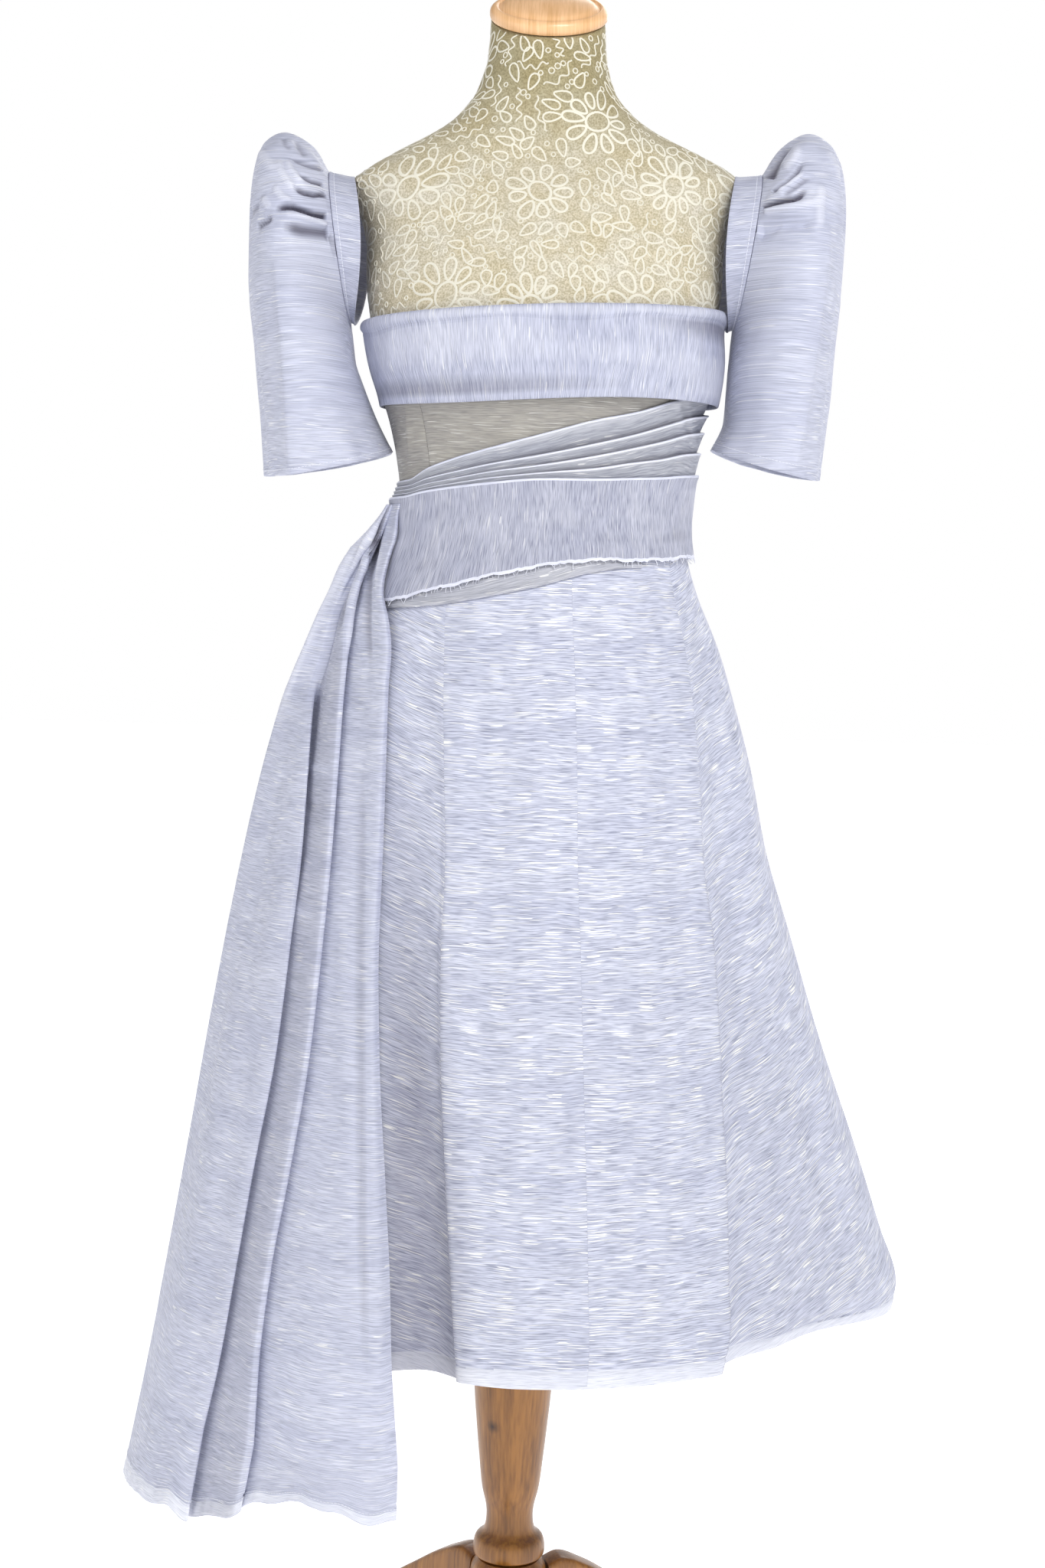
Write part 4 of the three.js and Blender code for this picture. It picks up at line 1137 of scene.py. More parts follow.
@dataclass
class RawEdge(ThreadWork):
    """Loose threads of a raw cloth edge."""

    strands: int = 245
    length: float = 6.0
    radius: float = 0.42
    seed: int = 7

    def __post_init__(self) -> None:
        """Builds the tree: bent threads of uneven length, turned at random."""
        tree, given = geometry_tree("raw_edge", (
            ("Strands", "NodeSocketInt", self.strands),
            ("Length", "NodeSocketFloat", self.length * MILLIMETRE),
            ("Radius", "NodeSocketFloat", self.radius * MILLIMETRE),
            ("Seed", "NodeSocketInt", self.seed),
            ("Thread", "NodeSocketMaterial", None),
        ))
        points = add(
            tree, "GeometryNodeCurveToPoints",
            {"Curve": given.outputs["Line"], "Count": given.outputs["Strands"]}, mode="COUNT",
        )
        down = add(tree, "ShaderNodeCombineXYZ", {"Z": times(tree, given.outputs["Length"], -1.0)})
        bend = add(
            tree, "GeometryNodeCurveQuadraticBezier",
            {"Resolution": 4, "Start": (0, 0, 0.001), "Middle": (0.0016, 0.0005, -0.0035),
             "End": down.outputs[0]},
        )
        outline = add(
            tree, "GeometryNodeCurvePrimitiveCircle",
            {"Resolution": 3, "Radius": given.outputs["Radius"]}, mode="RADIUS",
        )
        strand = add(tree, "GeometryNodeCurveToMesh", {
            "Curve": bend.outputs[0], "Profile Curve": outline.outputs[0], "Fill Caps": True,
        })
        turn = add(
            tree, "FunctionNodeRandomValue",
            {0: (-0.75, -0.55, -3.1), 1: (0.75, 0.2, 3.1), "Seed": given.outputs["Seed"]},
            data_type="FLOAT_VECTOR",
        )
        size = add(
            tree, "FunctionNodeRandomValue",
            {2: 0.25, 3: 1.0, "Seed": given.outputs["Seed"]}, data_type="FLOAT",
        )
        spread = add(tree, "GeometryNodeInstanceOnPoints", {
            "Points": points.outputs["Points"], "Instance": strand.outputs["Mesh"],
            "Rotation": turn.outputs[0], "Scale": size.outputs[1],
        })
        finish_tree(tree, spread.outputs[0], given.outputs["Thread"])
        self.tree = tree
# Painted shade in the sharp troughs and a painted highlight on the sharp ridges


# Dress form and stand


def swung(along: Grid, aside: Grid, angle: float) -> Grid:
    """Flat points turned by an angle in radians."""
    c, s = math.cos(angle), math.sin(angle)
    return np.stack([along * c - aside * s, along * s + aside * c], 1)


@dataclass
class DressForm:
    """Padded limbless form in a cotton cover with raised daisies, and its wooden neck cap."""

    steps: int = 120
    levels: int = 110
    flower_radius: float = 33.0
    flower_spacing: float = 88.0
    cord_width: float = 3.1
    cord_height: float = 0.6
    seed: int = 11
    print_low: float = 1338.0
    print_high: float = 1600.0
    # Small motifs between the daisies: kind, tries, room asked for, room taken, cord width
    fillers: tuple[tuple[str, int, float, float, float], ...] = (
        ("stem", 260, 6.0, 4.5, 2.1), ("leaf", 4200, 4.6, 6.2, 2.3), ("ring", 3000, 2.2, 3.0, 1.8),
    )

    def place(self, azimuth: float, z: float, local: Grid) -> Grid:
        """Lays flat motif points on the form.

        Args:
            azimuth: where the motif's middle is.
            z: its level.
            local: points (..., 3) across, up and out from the cover.

        Returns:
            Points on the form, in millimetres.
        """
        middle = form_point(azimuth, z, 0.0)
        across = form_point(azimuth + 0.5, z, 0.0) - form_point(azimuth - 0.5, z, 0.0)
        up = form_point(azimuth, z + 1, 0.0) - form_point(azimuth, z - 1, 0.0)
        across = across / np.linalg.norm(across)
        up = up - across * np.dot(up, across)
        up = up / np.linalg.norm(up)
        flat = middle + local[..., :1] * across + local[..., 1:2] * up
        level = np.full(flat.shape[:-1], z) + local[..., 1] * up[2]
        for _ in range(5):
            w, f, b, shift, tilt = read(FORM_ROWS, level)
            y = flat[..., 1] / np.cos(np.radians(tilt))
            angle = np.degrees(np.arctan2((flat[..., 0] - shift) / w, -y / np.where(y < 0, f, b)))
            level = level + flat[..., 2] - form_point(angle, level, 0.0)[..., 2]
            level = np.clip(level, FORM_BOTTOM_Z + 5, FORM_TOP_Z - 1)
        return form_point(angle, level, local[..., 2])

    def ribbon(self, path: Grid, closed: bool, width: float) -> Grid:
        """Three lanes of a raised cord along a flat path: left, crest, right."""
        if closed:
            along = np.roll(path, -1, 0) - np.roll(path, 1, 0)
        else:
            along = np.gradient(path, axis=0)
        along = along / np.maximum(np.linalg.norm(along, axis=1, keepdims=True), 1e-9)
        side = np.stack([-along[:, 1], along[:, 0]], 1) * width / 2
        lanes = np.stack([path - side, path, path + side], 1)
        out = np.broadcast_to([-0.25, self.cord_height, -0.25], lanes.shape[:2])
        return np.concatenate([lanes, out[..., None]], -1)

    def flower(self, draw: np.random.Generator) -> list[Grid]:
        """Outlines of one daisy, uneven as embroidery is."""
        petals = int(draw.integers(8, 11))
        reach = self.flower_radius * draw.uniform(0.88, 1.08)
        core = reach * 0.36
        turn = np.linspace(0, 2 * np.pi, 22, endpoint=False)
        loops = [np.stack([core * 0.8 * np.cos(turn), core * np.sin(turn)], 1)]
        for k in range(petals):
            angle = 2 * np.pi * (k + draw.uniform(-0.12, 0.12)) / petals
            tip = reach * draw.uniform(0.86, 1.08)
            start = core * 1.12
            wide = 0.5 * (start + tip) * math.sin(math.pi / petals) * draw.uniform(0.72, 0.88)
            share = (1 - np.cos(turn)) / 2
            along = start + (tip - start) * share
            aside = wide * np.sin(turn) * (0.62 + 0.5 * share)
            loops.append(swung(along, aside, angle))
        return loops

    def leaf(self, draw: np.random.Generator) -> Grid:
        """Outline of one leaf."""
        turn = np.linspace(0, 2 * np.pi, 14, endpoint=False)
        long, wide = draw.uniform(6.5, 9.5), draw.uniform(3.2, 4.8)
        angle = draw.uniform(0, 2 * np.pi)
        along = long * np.cos(turn)
        aside = wide * np.sin(turn) * (1 - 0.45 * np.cos(turn))
        return swung(along, aside, angle)

    def stem(self, draw: np.random.Generator) -> Grid:
        """One wavy stem."""
        length, angle = draw.uniform(24, 44), draw.uniform(0, 2 * np.pi)
        share = np.linspace(0, 1, 26)
        along = (share - 0.5) * length
        curl = draw.uniform(-9, 9) * (share * 2 - 1) ** 2
        aside = curl + draw.uniform(1.6, 2.8) * np.sin(share * draw.uniform(12, 20))
        return swung(along, aside, angle)

    def dot(self, draw: np.random.Generator) -> Grid:
        """One small ring."""
        turn = np.linspace(0, 2 * np.pi, 8, endpoint=False)
        return draw.uniform(1.9, 2.7) * np.stack([np.cos(turn), np.sin(turn)], 1)

    def motifs(self) -> tuple[Grid, list[list[int]]]:
        """Vertices and faces of all raised outlines on the cover."""
        draw = np.random.default_rng(self.seed)
        taken: list[tuple[Grid, float]] = []
        points: list[Grid] = []
        faces: list[list[int]] = []

        def free(spot: Grid, reach: float) -> bool:
            """Whether a spot keeps clear of what is drawn already."""
            return all(np.linalg.norm(spot - p) > reach + r for p, r in taken)

        def draw_path(azimuth: float, z: float, path: Grid, closed: bool, width: float) -> None:
            """Lays one outline on the form as a closed cord."""
            lanes = self.place(azimuth, z, self.ribbon(path, closed, width))
            base, count = sum(len(p) for p in points), len(lanes)
            points.append(lanes.reshape(-1, 3))
            for i in range(count if closed else count - 1):
                a, b = base + 3 * i, base + 3 * ((i + 1) % count)
                for lane in range(3):
                    ahead = (lane + 1) % 3
                    faces.append([a + lane, b + lane, b + ahead, a + ahead])
            if not closed:
                last = base + 3 * (count - 1)
                faces.append([base, base + 1, base + 2])
                faces.append([last + 2, last + 1, last])

        row = 0
        level = self.print_low + 12
        while level < self.print_high:
            w, f, b, _, _ = (float(v) for v in read(FORM_ROWS, np.array(level)))
            around = math.pi * (w + 0.5 * (f + b))
            count = max(3, round(around / self.flower_spacing))
            for k in range(count):
                azimuth = 360 * (k + 0.5 * (row % 2)) / count + draw.uniform(-5, 5)
                z = level + draw.uniform(-12, 12)
                spot = form_point(azimuth, z, 0.0)
                if free(spot, self.flower_radius + 2):
                    taken.append((spot, self.flower_radius))
                    spin = draw.uniform(0, 2 * np.pi)
                    for loop in self.flower(draw):
                        draw_path(azimuth, z, swung(*loop.T, spin), True, self.cord_width)
            level += self.flower_spacing * 0.62
            row += 1
        makers = {"stem": self.stem, "leaf": self.leaf, "ring": self.dot}
        for kind, tries, reach, kept, width in self.fillers:
            for _ in range(tries):
                azimuth = draw.uniform(-180, 180)
                z = draw.uniform(self.print_low, self.print_high + 16)
                spot = form_point(azimuth, z, 0.0)
                if not free(spot, reach):
                    continue
                path = makers[kind](draw)
                spots = [spot]
                if kind == "stem":
                    some = np.pad(path[[0, 6, 13, 19, -1]], ((0, 0), (0, 1)))
                    spots = list(self.place(azimuth, z, some))
                    if not all(free(end, 2.5) for end in spots):
                        continue
                taken.extend((place, kept) for place in spots)
                draw_path(azimuth, z, path, kind != "stem", width)
        return np.concatenate(points), faces

    def build(self, finishes: Finishes) -> list[Piece]:
        """Builds the torso, its raised outlines and the cap.

        Args:
            finishes: all finishes.

        Returns:
            The pieces.
        """
        azimuth = np.linspace(0, 360, self.steps, endpoint=False)
        z = np.linspace(FORM_BOTTOM_Z, FORM_TOP_Z, self.levels)
        torso = lofted("form_torso_cover", form_point(azimuth[None], z[:, None], 0.0))
        dress_piece(torso, finishes.cover, ["form_torso"])
        points, faces = self.motifs()
        daisies = mesh_object("form_cover_daisies", points, faces, None, 75)
        dress_piece(daisies, finishes.cord)
        lean = math.radians(NECK_TILT)
        rings = lathe(turned_profile(CAP_PROFILE, 4))
        x, y, up = rings[..., 0], rings[..., 1], rings[..., 2] + SEAM_GAP
        cap_points = np.stack([
            x, y * math.cos(lean) - up * math.sin(lean),
            FORM_TOP_Z + y * math.sin(lean) + up * math.cos(lean),
        ], -1)
        cap = lofted("neck_cap_turned", cap_points, 40)
        dress_piece(cap, finishes.cap, ["neck_cap"])
        return [torso, daisies, cap]


@dataclass
class Stand:
    """Turned pole, hub and three legs with rounded edges."""

    squareness: float = 0.28

    def leg(self, azimuth: float) -> Grid:
        """Rings of one leg, its edges rounded."""
        marks = np.array(LEG_ROWS)[:, 0]
        spans = [np.linspace(a, b, 6, endpoint=False) for a, b in zip(marks[:-1], marks[1:])]
        reach = np.concatenate([*spans, marks[-1:]])
        low, high, half = read(LEG_ROWS, reach)
        turn = np.linspace(0, 2 * np.pi, 40, endpoint=False)
        c, s = np.cos(turn), np.sin(turn)
        wide = np.sign(c) * np.abs(c) ** self.squareness
        tall = np.sign(s) * np.abs(s) ** self.squareness
        side = half[:, None] * wide
        z = 0.5 * (low + high)[:, None] + 0.5 * (high - low)[:, None] * tall
        cos, sin = math.cos(math.radians(azimuth)), math.sin(math.radians(azimuth))
        r = reach[:, None]
        return np.stack([sin * r + cos * side, -cos * r + sin * side, z], -1)

    def build(self, finishes: Finishes) -> list[Piece]:
        """Builds the stand; returns its pieces."""
        pole = lofted("stand_pole_turned", lathe(turned_profile(POLE_PROFILE, 5)), 40)
        hub = lofted("stand_hub_turned", lathe(turned_profile(HUB_PROFILE, 3)), 40)
        made = [
            dress_piece(pole, finishes.pole, ["stand_pole"]),
            dress_piece(hub, finishes.pole, ["stand_hub"]),
        ]
        for number, azimuth in enumerate(LEG_AZIMUTHS, 1):
            leg = lofted(f"stand_leg_{number}_shaped", self.leg(azimuth), 50)
            made.append(dress_piece(leg, finishes.pole, [f"stand_leg_{number}"]))
        return made


# Dress


def seam_dip(columns: int, spacing: float, depth: float = 0.7, reach: float = 2.6) -> Grid:
    """Dip of a panel's face towards its two side seams."""
    place = np.arange(columns) * spacing
    return -depth * (bump(place / reach) + bump((place[-1] - place) / reach))


@dataclass
class Bodice:
    """Bodice in four panels under the band and the wrap."""

    panels: tuple[tuple[str, float, float, float, float], ...] = (
        ("bodice_front", -50, 50, 0.26, 0.041),
        ("bodice_side_right", 50, 120, 0.15, 0.0226),
        ("bodice_back", 120, 240, 0.3, 0.047),
        ("bodice_side_left", 240, 310, 0.15, 0.0226),
    )
    length: float = 0.17
    rows: int = 32
    columns_per_degree: float = 0.9
    radius: float = 110.0
    creases: tuple[Crease, ...] = drawn(Side.FRONT, (
        (1.3, 3.0, 0.7, -121, 1275, -119, 1240, -116, 1205),
        (0.5, 4, 1, -96, 1268, -70, 1258, -20, 1262),
        (-0.5, 5, 1, -88, 1236, -50, 1243, -10, 1256),
        (0.5, 4, 1, 30, 1268, 62, 1262, 90, 1268),
    )) + drawn(Side.BACK, (
        (-0.5, 6, 1, -60, 1262, 0, 1256, 70, 1268),
    ))

    def build(self, finishes: Finishes) -> list[Piece]:
        """Builds the panels; returns them."""
        made = []
        z = np.linspace(BODICE_TOP_Z, WAIST_Z + SEAM_GAP, self.rows)
        trim = math.degrees(SEAM_GAP / 2 / self.radius)
        for name, start, end, wide, area in self.panels:
            count = int((end - start) * self.columns_per_degree)
            azimuth = np.linspace(start + trim, end - trim, count)
            face = form_point(azimuth[None], z[:, None], REST_GAP + BODICE_WALL)
            normals = grid_normals(face, False)
            relief = crease_relief(face, normals, self.creases)
            relief = relief + seam_dip(count, wide * 1000 / count)
            outer = form_point(azimuth[None], z[:, None], REST_GAP + BODICE_WALL + relief)
            inner = form_point(azimuth[None], z[:, None], REST_GAP)
            obj = shell(name + "_cloth", outer, inner, False)
            dress_piece(obj, finishes.single, [name])
            made.append(obj)
        return made


@dataclass
class TopBand:
    """Wide band folded over the bodice's top edge, with the slubs running down."""

    steps: int = 260
    flat: tuple[float, float] = (0.88, 0.122)
    area: float = 0.104
    creases: tuple[Crease, ...] = drawn(Side.FRONT, (
        (-0.7, 3.2, 2, -158, 1322, -100, 1314, 0, 1312, 90, 1316, 160, 1322),
        (0.9, 6, 1, -150, 1300, -120, 1292, -90, 1296),
        (0.8, 6, 1, 60, 1338, 66, 1315, 62, 1286),
        (-0.8, 5, 1, 100, 1335, 108, 1310, 112, 1284),
        (1.0, 5, 1, 132, 1340, 141, 1318, 139, 1292),
        (1.2, 5, 1, -140, 1338, -134, 1314, -137, 1284),
        (0.5, 7, 1, -24, 1334, -20, 1316, -25, 1300),
        (-0.5, 6, 1, 10, 1332, 14, 1316, 10, 1290),
    )) + drawn(Side.BACK, (
        (-0.6, 3.5, 1, -120, 1318, -20, 1310, 120, 1318),
        (0.9, 6, 1, -70, 1335, -64, 1312, -70, 1284),
        (-0.7, 6, 1, 48, 1332, 42, 1310, 46, 1290),
    ))

    def path(self, azimuth: Grid) -> tuple[Grid, Grid]:
        """Distance off the form and level along the folded band.

        Args:
            azimuth: degrees from the front.

        Returns:
            Arrays of offsets and levels, from the inner edge over the roll to the lower edge.
        """
        tilt = BAND_TILT * np.sin(np.radians(azimuth))
        top = BAND_TOP_Z + tilt
        low = BAND_BOTTOM_Z + 0.6 * tilt + 1.5 * np.sin(np.radians(3 * azimuth))
        off = 6.4 + 1.2 * np.sin(np.radians(2 * azimuth)) + 8.5 * stand_off(azimuth)
        start = REST_GAP + BODICE_WALL + 0.8 + CLOTH / 2
        uneven = 1 + 0.16 * np.sin(np.radians(5 * azimuth + 40))
        uneven += 0.1 * np.sin(np.radians(9 * azimuth))
        one = np.ones_like(azimuth)
        marks = [
            (start * one, top - 30), (start + 0.3 * one, top - 6), (start + 1.4 * one, top - 1.2),
            (start + 3.4 * one, top + 0.1), (start + 5.4 * one, top - 1.9),
            (start + 6.1 * one, top - 5.2), (start + 5.5 * one, top - 8.3 * uneven),
            (start + 4.3 * one, top - 10.4 * uneven), (start + 4.2 * one, top - 14 * uneven),
            (0.5 * (start + 4.6 + off), top - 44), (off - 0.6, low + 9), (off, low),
        ]
        curve = soft_curve(np.array([np.stack(m, -1) for m in marks]), 4)
        return curve[..., 0], curve[..., 1]

    def build(self, finishes: Finishes) -> list[Piece]:
        """Builds the band; returns it."""
        azimuth = np.linspace(-180, 180, self.steps, endpoint=False)
        off, z = self.path(azimuth)
        middle = form_point(azimuth[None], z, off)
        normals = grid_normals(middle, True)
        hung = np.clip((np.arange(len(off)) - 26) / 6, 0, 1)[:, None]
        relief = crease_relief(middle, normals, self.creases) * hung
        dz, do = np.gradient(z, axis=0), np.gradient(off, axis=0)
        run = np.maximum(np.hypot(dz, do), 1e-6)
        side_off, side_z = -dz / run, do / run
        half = CLOTH / 2
        outer = form_point(azimuth[None], z + side_z * half, off + side_off * half + relief)
        inner = form_point(azimuth[None], z - side_z * half, off - side_off * half + relief)
        # Painted shade in the hollows of the roll and a painted highlight on its ridge
        below = ease((np.arange(len(off)) - 8) / 8)[:, None]
        fold_shading = np.clip(hollows(off, 5) / 1.6, -0.8, 0.5) * below
        band = shell("top_band_cloth", outer, inner, True, fold_shading=fold_shading)
        dress_piece(band, finishes.band, ["top_band"])
        return [band]


@dataclass
class Wrap:
    """Waist wrap with five folded edges, a lower panel with a raw edge, and a layer under it."""

    steps: int = 270
    pleat_flat: tuple[float, float] = (0.82, 0.11)
    pleat_area: float = 0.0535
    panel_flat: tuple[float, float] = (0.86, 0.112)
    panel_area: float = 0.07
    under_flat: tuple[float, float] = (0.27, 0.046)
    under_range: tuple[float, float] = (-63, 41)
    under_height: float = 42.0
    # Distance of each pleat's layer from the body
    layers: tuple[float, ...] = (1.5, 3.0, 4.2, 5.4)
    pleat_rows: int = 15
    crest_rows: int = 4
    creases: tuple[Crease, ...] = drawn(Side.FRONT, (
        (1.6, 3.2, 1.5, 121, 1292, 126, 1262, 133, 1234),
        (1.3, 2.6, 1, 133, 1280, 137, 1256, 141, 1238),
        (1.5, 3.0, 1.5, 147, 1296, 155, 1266, 160, 1240),
        (0.6, 4, 1, -80, 1212, -20, 1232, 50, 1256, 110, 1280),
        (-0.4, 3, 1, -60, 1206, 0, 1222, 80, 1246),
        (1.0, 3, 1, -124, 1198, -106, 1206, -84, 1214),
    )) + drawn(Side.BACK, (
        (0.9, 4, 1, 120, 1270, 90, 1250, 40, 1238),
        (0.8, 4, 1, -120, 1205, -60, 1215, 0, 1228),
    ))
    panel_creases: tuple[Crease, ...] = drawn(Side.FRONT, (
        (1.2, 6, 1.6, 24, 1196, 32, 1164, 44, 1132),
        (-0.9, 6, 1, 52, 1196, 60, 1168, 62, 1138),
        (0.8, 8, 1, -40, 1190, -46, 1150, -52, 1108),
        (-0.9, 7, 1, -84, 1182, -96, 1146, -102, 1104),
        (1.3, 6, 1, -116, 1184, -124, 1150, -128, 1100),
        (0.9, 7, 1, 84, 1198, 96, 1168, 100, 1140),
        (-1.1, 6, 1, 122, 1200, 124, 1170, 136, 1142),
        (-0.6, 6, 1, -20, 1180, -26, 1150, -22, 1126),
        (0.6, 7, 1, -12, 1166, 20, 1158, 60, 1162),
    )) + drawn(Side.BACK, (
        (1.2, 8, 1, -80, 1190, -74, 1150, -86, 1108),
        (-1.0, 7, 1, -20, 1196, -8, 1160, -14, 1126),
        (1.1, 7, 1, 60, 1198, 52, 1164, 66, 1140),
    )) + drawn(Side.RIGHT, (
        (1.0, 7, 1, -30, 1205, -20, 1170, -34, 1140),
        (-0.9, 7, 1, 28, 1202, 34, 1172, 22, 1142),
    ))

    def far(self, azimuth: Grid) -> Grid:
        """How much further out than at the left the layers lie."""
        return 1 + 0.7 * stand_off(azimuth)

    def pleat_path(self, azimuth: Grid) -> tuple[Grid, Grid]:
        """Offsets and levels down the five folded edges."""
        p1, p2, p3, p4, p5, _, _ = wrap_row(azimuth)
        far = self.far(azimuth)
        low, *_, high = self.layers
        marks = [(far * low - 0.4, p1 + 0.2), (far * low + 0.5, p1 - 0.9)]
        folds = zip((p1, p2, p3), (p2, p3, p4), self.layers, self.layers[1:])
        for above, edge, level, ahead in folds:
            fine = np.clip((above - edge) / 9, 0.32, 1)
            sink = 1.8 * np.clip((p1 - p5) / 40, 0, 1) * fine
            marks += [
                (far * level + 0.2 * fine, above - 2.6 * fine),
                (far * level - 0.8 * sink, edge + 1.5 * fine),
                (far * level - sink + 0.2, edge + 0.5 * fine),
                (far * ahead - 0.2, edge + 0.25 * fine),
                (far * ahead + 1.3 * fine, edge - 0.8 * fine),
            ]
        fine = np.clip((p4 - p5) / 9, 0.32, 1)
        marks += [
            (far * high + 0.2 * fine, p4 - 2.6 * fine), (far * high - 0.9 * fine, p5 + 1.2),
            (far * 4.6 - 0.9, p5 - 18),
        ]
        marks = np.array([np.stack(mark) for mark in marks])
        rows = []
        for here, onward in zip(marks[:-1], marks[1:]):
            rows += [here + (onward - here) * share for share in (0.0, 0.34, 0.67)]
        path = np.array([*rows, marks[-1]])
        path[1:-1] = 0.25 * path[:-2] + 0.5 * path[1:-1] + 0.25 * path[2:]
        return path[:, 0], path[:, 1]

    def panel_path(self, azimuth: Grid) -> tuple[Grid, Grid]:
        """Offsets and levels down the lower panel to its raw edge."""
        *_, p5, fray, _ = wrap_row(azimuth)
        far, top = self.far(azimuth), self.layers[-1]
        drop = p5 - fray
        ragged = np.zeros_like(azimuth)
        for height, turns, phase in ((0.9, 17, 20), (0.7, 41, 0), (0.6, 97, 60), (0.4, 149, 0)):
            ragged += height * np.sin(np.radians(turns * azimuth + phase))
        marks = [
            (far * top + 1.4, p5 + 0.7), (far * top + 2.2, p5 + 0.9), (far * top + 3.0, p5 - 0.3),
            (far * top + 2.9, p5 - 2.6), (far * top + 2.3, p5 - 5), (far * top + 2.0, p5 - 14),
            (far * 3.6 + 3.4, p5 - 0.45 * drop), (far * 1.6 + 4.2, p5 - 0.75 * drop),
            (4.6 + far, fray + 6), (4.4 + far, fray + 0.8 * ragged),
        ]
        curve = soft_curve(np.array([np.stack(m, -1) for m in marks]), 5)
        return curve[..., 0], curve[..., 1]

    def wall(self, name: str, path: tuple[Grid, Grid], azimuth: Grid,
             creases: Sequence[Crease], hold: int) -> Piece:
        """Cloth wall along a path round the body.

        Args:
            name: piece name.
            path: offsets and levels.
            azimuth: the columns' azimuths.
            creases: ridges and troughs on it.
            hold: rows at the top that stay as they are.

        Returns:
            The new object.
        """
        off, z = path
        middle = body_point(azimuth[None], z, off)
        level = grid_normals(middle, True)
        smooth = level.copy()
        smooth[..., 2] = 0
        smooth /= np.maximum(np.linalg.norm(smooth, axis=-1, keepdims=True), 1e-9)
        held = ease((np.arange(len(off)) - hold) / 5)[:, None]
        relief = crease_relief(middle, smooth, creases) * held
        # Painted shade in the hollows between the folded edges and a painted highlight on their
        # ridges
        fold_shading = hollows(off) / 1.3 + relief / 9
        outer = body_point(azimuth[None], z, off + CLOTH / 2 + relief)
        inner = body_point(azimuth[None], z, off - CLOTH / 2 + relief)
        return shell(name, outer, inner, True, fold_shading=np.clip(fold_shading, -1.0, 0.6))

    def whiten(self, obj: Piece, first: int, last: int) -> None:
        """Gives the rows of a folded edge the whiter finish: partly cloth that lies double, partly
        a painted highlight.
        """
        for polygon in obj.data.polygons[first * self.steps : last * self.steps]:
            polygon.material_index = 1

    def build(self, finishes: Finishes, edge: RawEdge) -> list[Piece]:
        """Builds the pleats, the lower panel, its loose threads and the under layer.

        Args:
            finishes: all finishes.
            edge: maker of loose threads.

        Returns:
            The pieces.
        """
        azimuth = np.linspace(-180, 180, self.steps, endpoint=False)
        path = self.pleat_path(azimuth)
        pleats = self.wall("waist_wrap_cloth", path, azimuth, self.creases, 1)
        pleats.data.materials.append(finishes.pleats)
        pleats.data.materials.append(finishes.fold_shading)
        for first in range(0, 4 * self.pleat_rows, self.pleat_rows):
            self.whiten(pleats, first, first + self.crest_rows)
        dress_piece(pleats, finishes.pleats, ["waist_wrap"])
        path = self.panel_path(azimuth)
        panel = self.wall("wrap_lower_panel_cloth", path, azimuth, self.panel_creases, 8)
        panel.data.materials.append(finishes.panel)
        panel.data.materials.append(finishes.fold_shading)
        self.whiten(panel, 0, 12)
        rows = len(path[0])
        self.whiten(panel, rows - 3, rows + 3)
        dress_piece(panel, finishes.panel, ["wrap_lower_panel"])
        hem = body_point(azimuth, path[1][-1], path[0][-1])
        threads = edge.lay("wrap_raw_edge_threads", [looped(hem)], finishes.thread)
        dress_piece(threads, finishes.thread)
        start, end = self.under_range
        strip = np.linspace(start, end, 120)
        under = wrap_row(strip)[6]
        rise = np.linspace(self.under_height, 0, 24)[:, None]
        roll = 0.9 * bump((rise - 1.5) / 2.5)
        z = under[None] + rise
        outer = body_point(strip[None], z, 2.2 + roll)
        inner = body_point(strip[None], z, 0.6)
        layer = shell("wrap_under_layer_cloth", outer, inner, False)
        dress_piece(layer, finishes.under, ["wrap_under_layer"])
        return [pleats, panel, threads, layer]


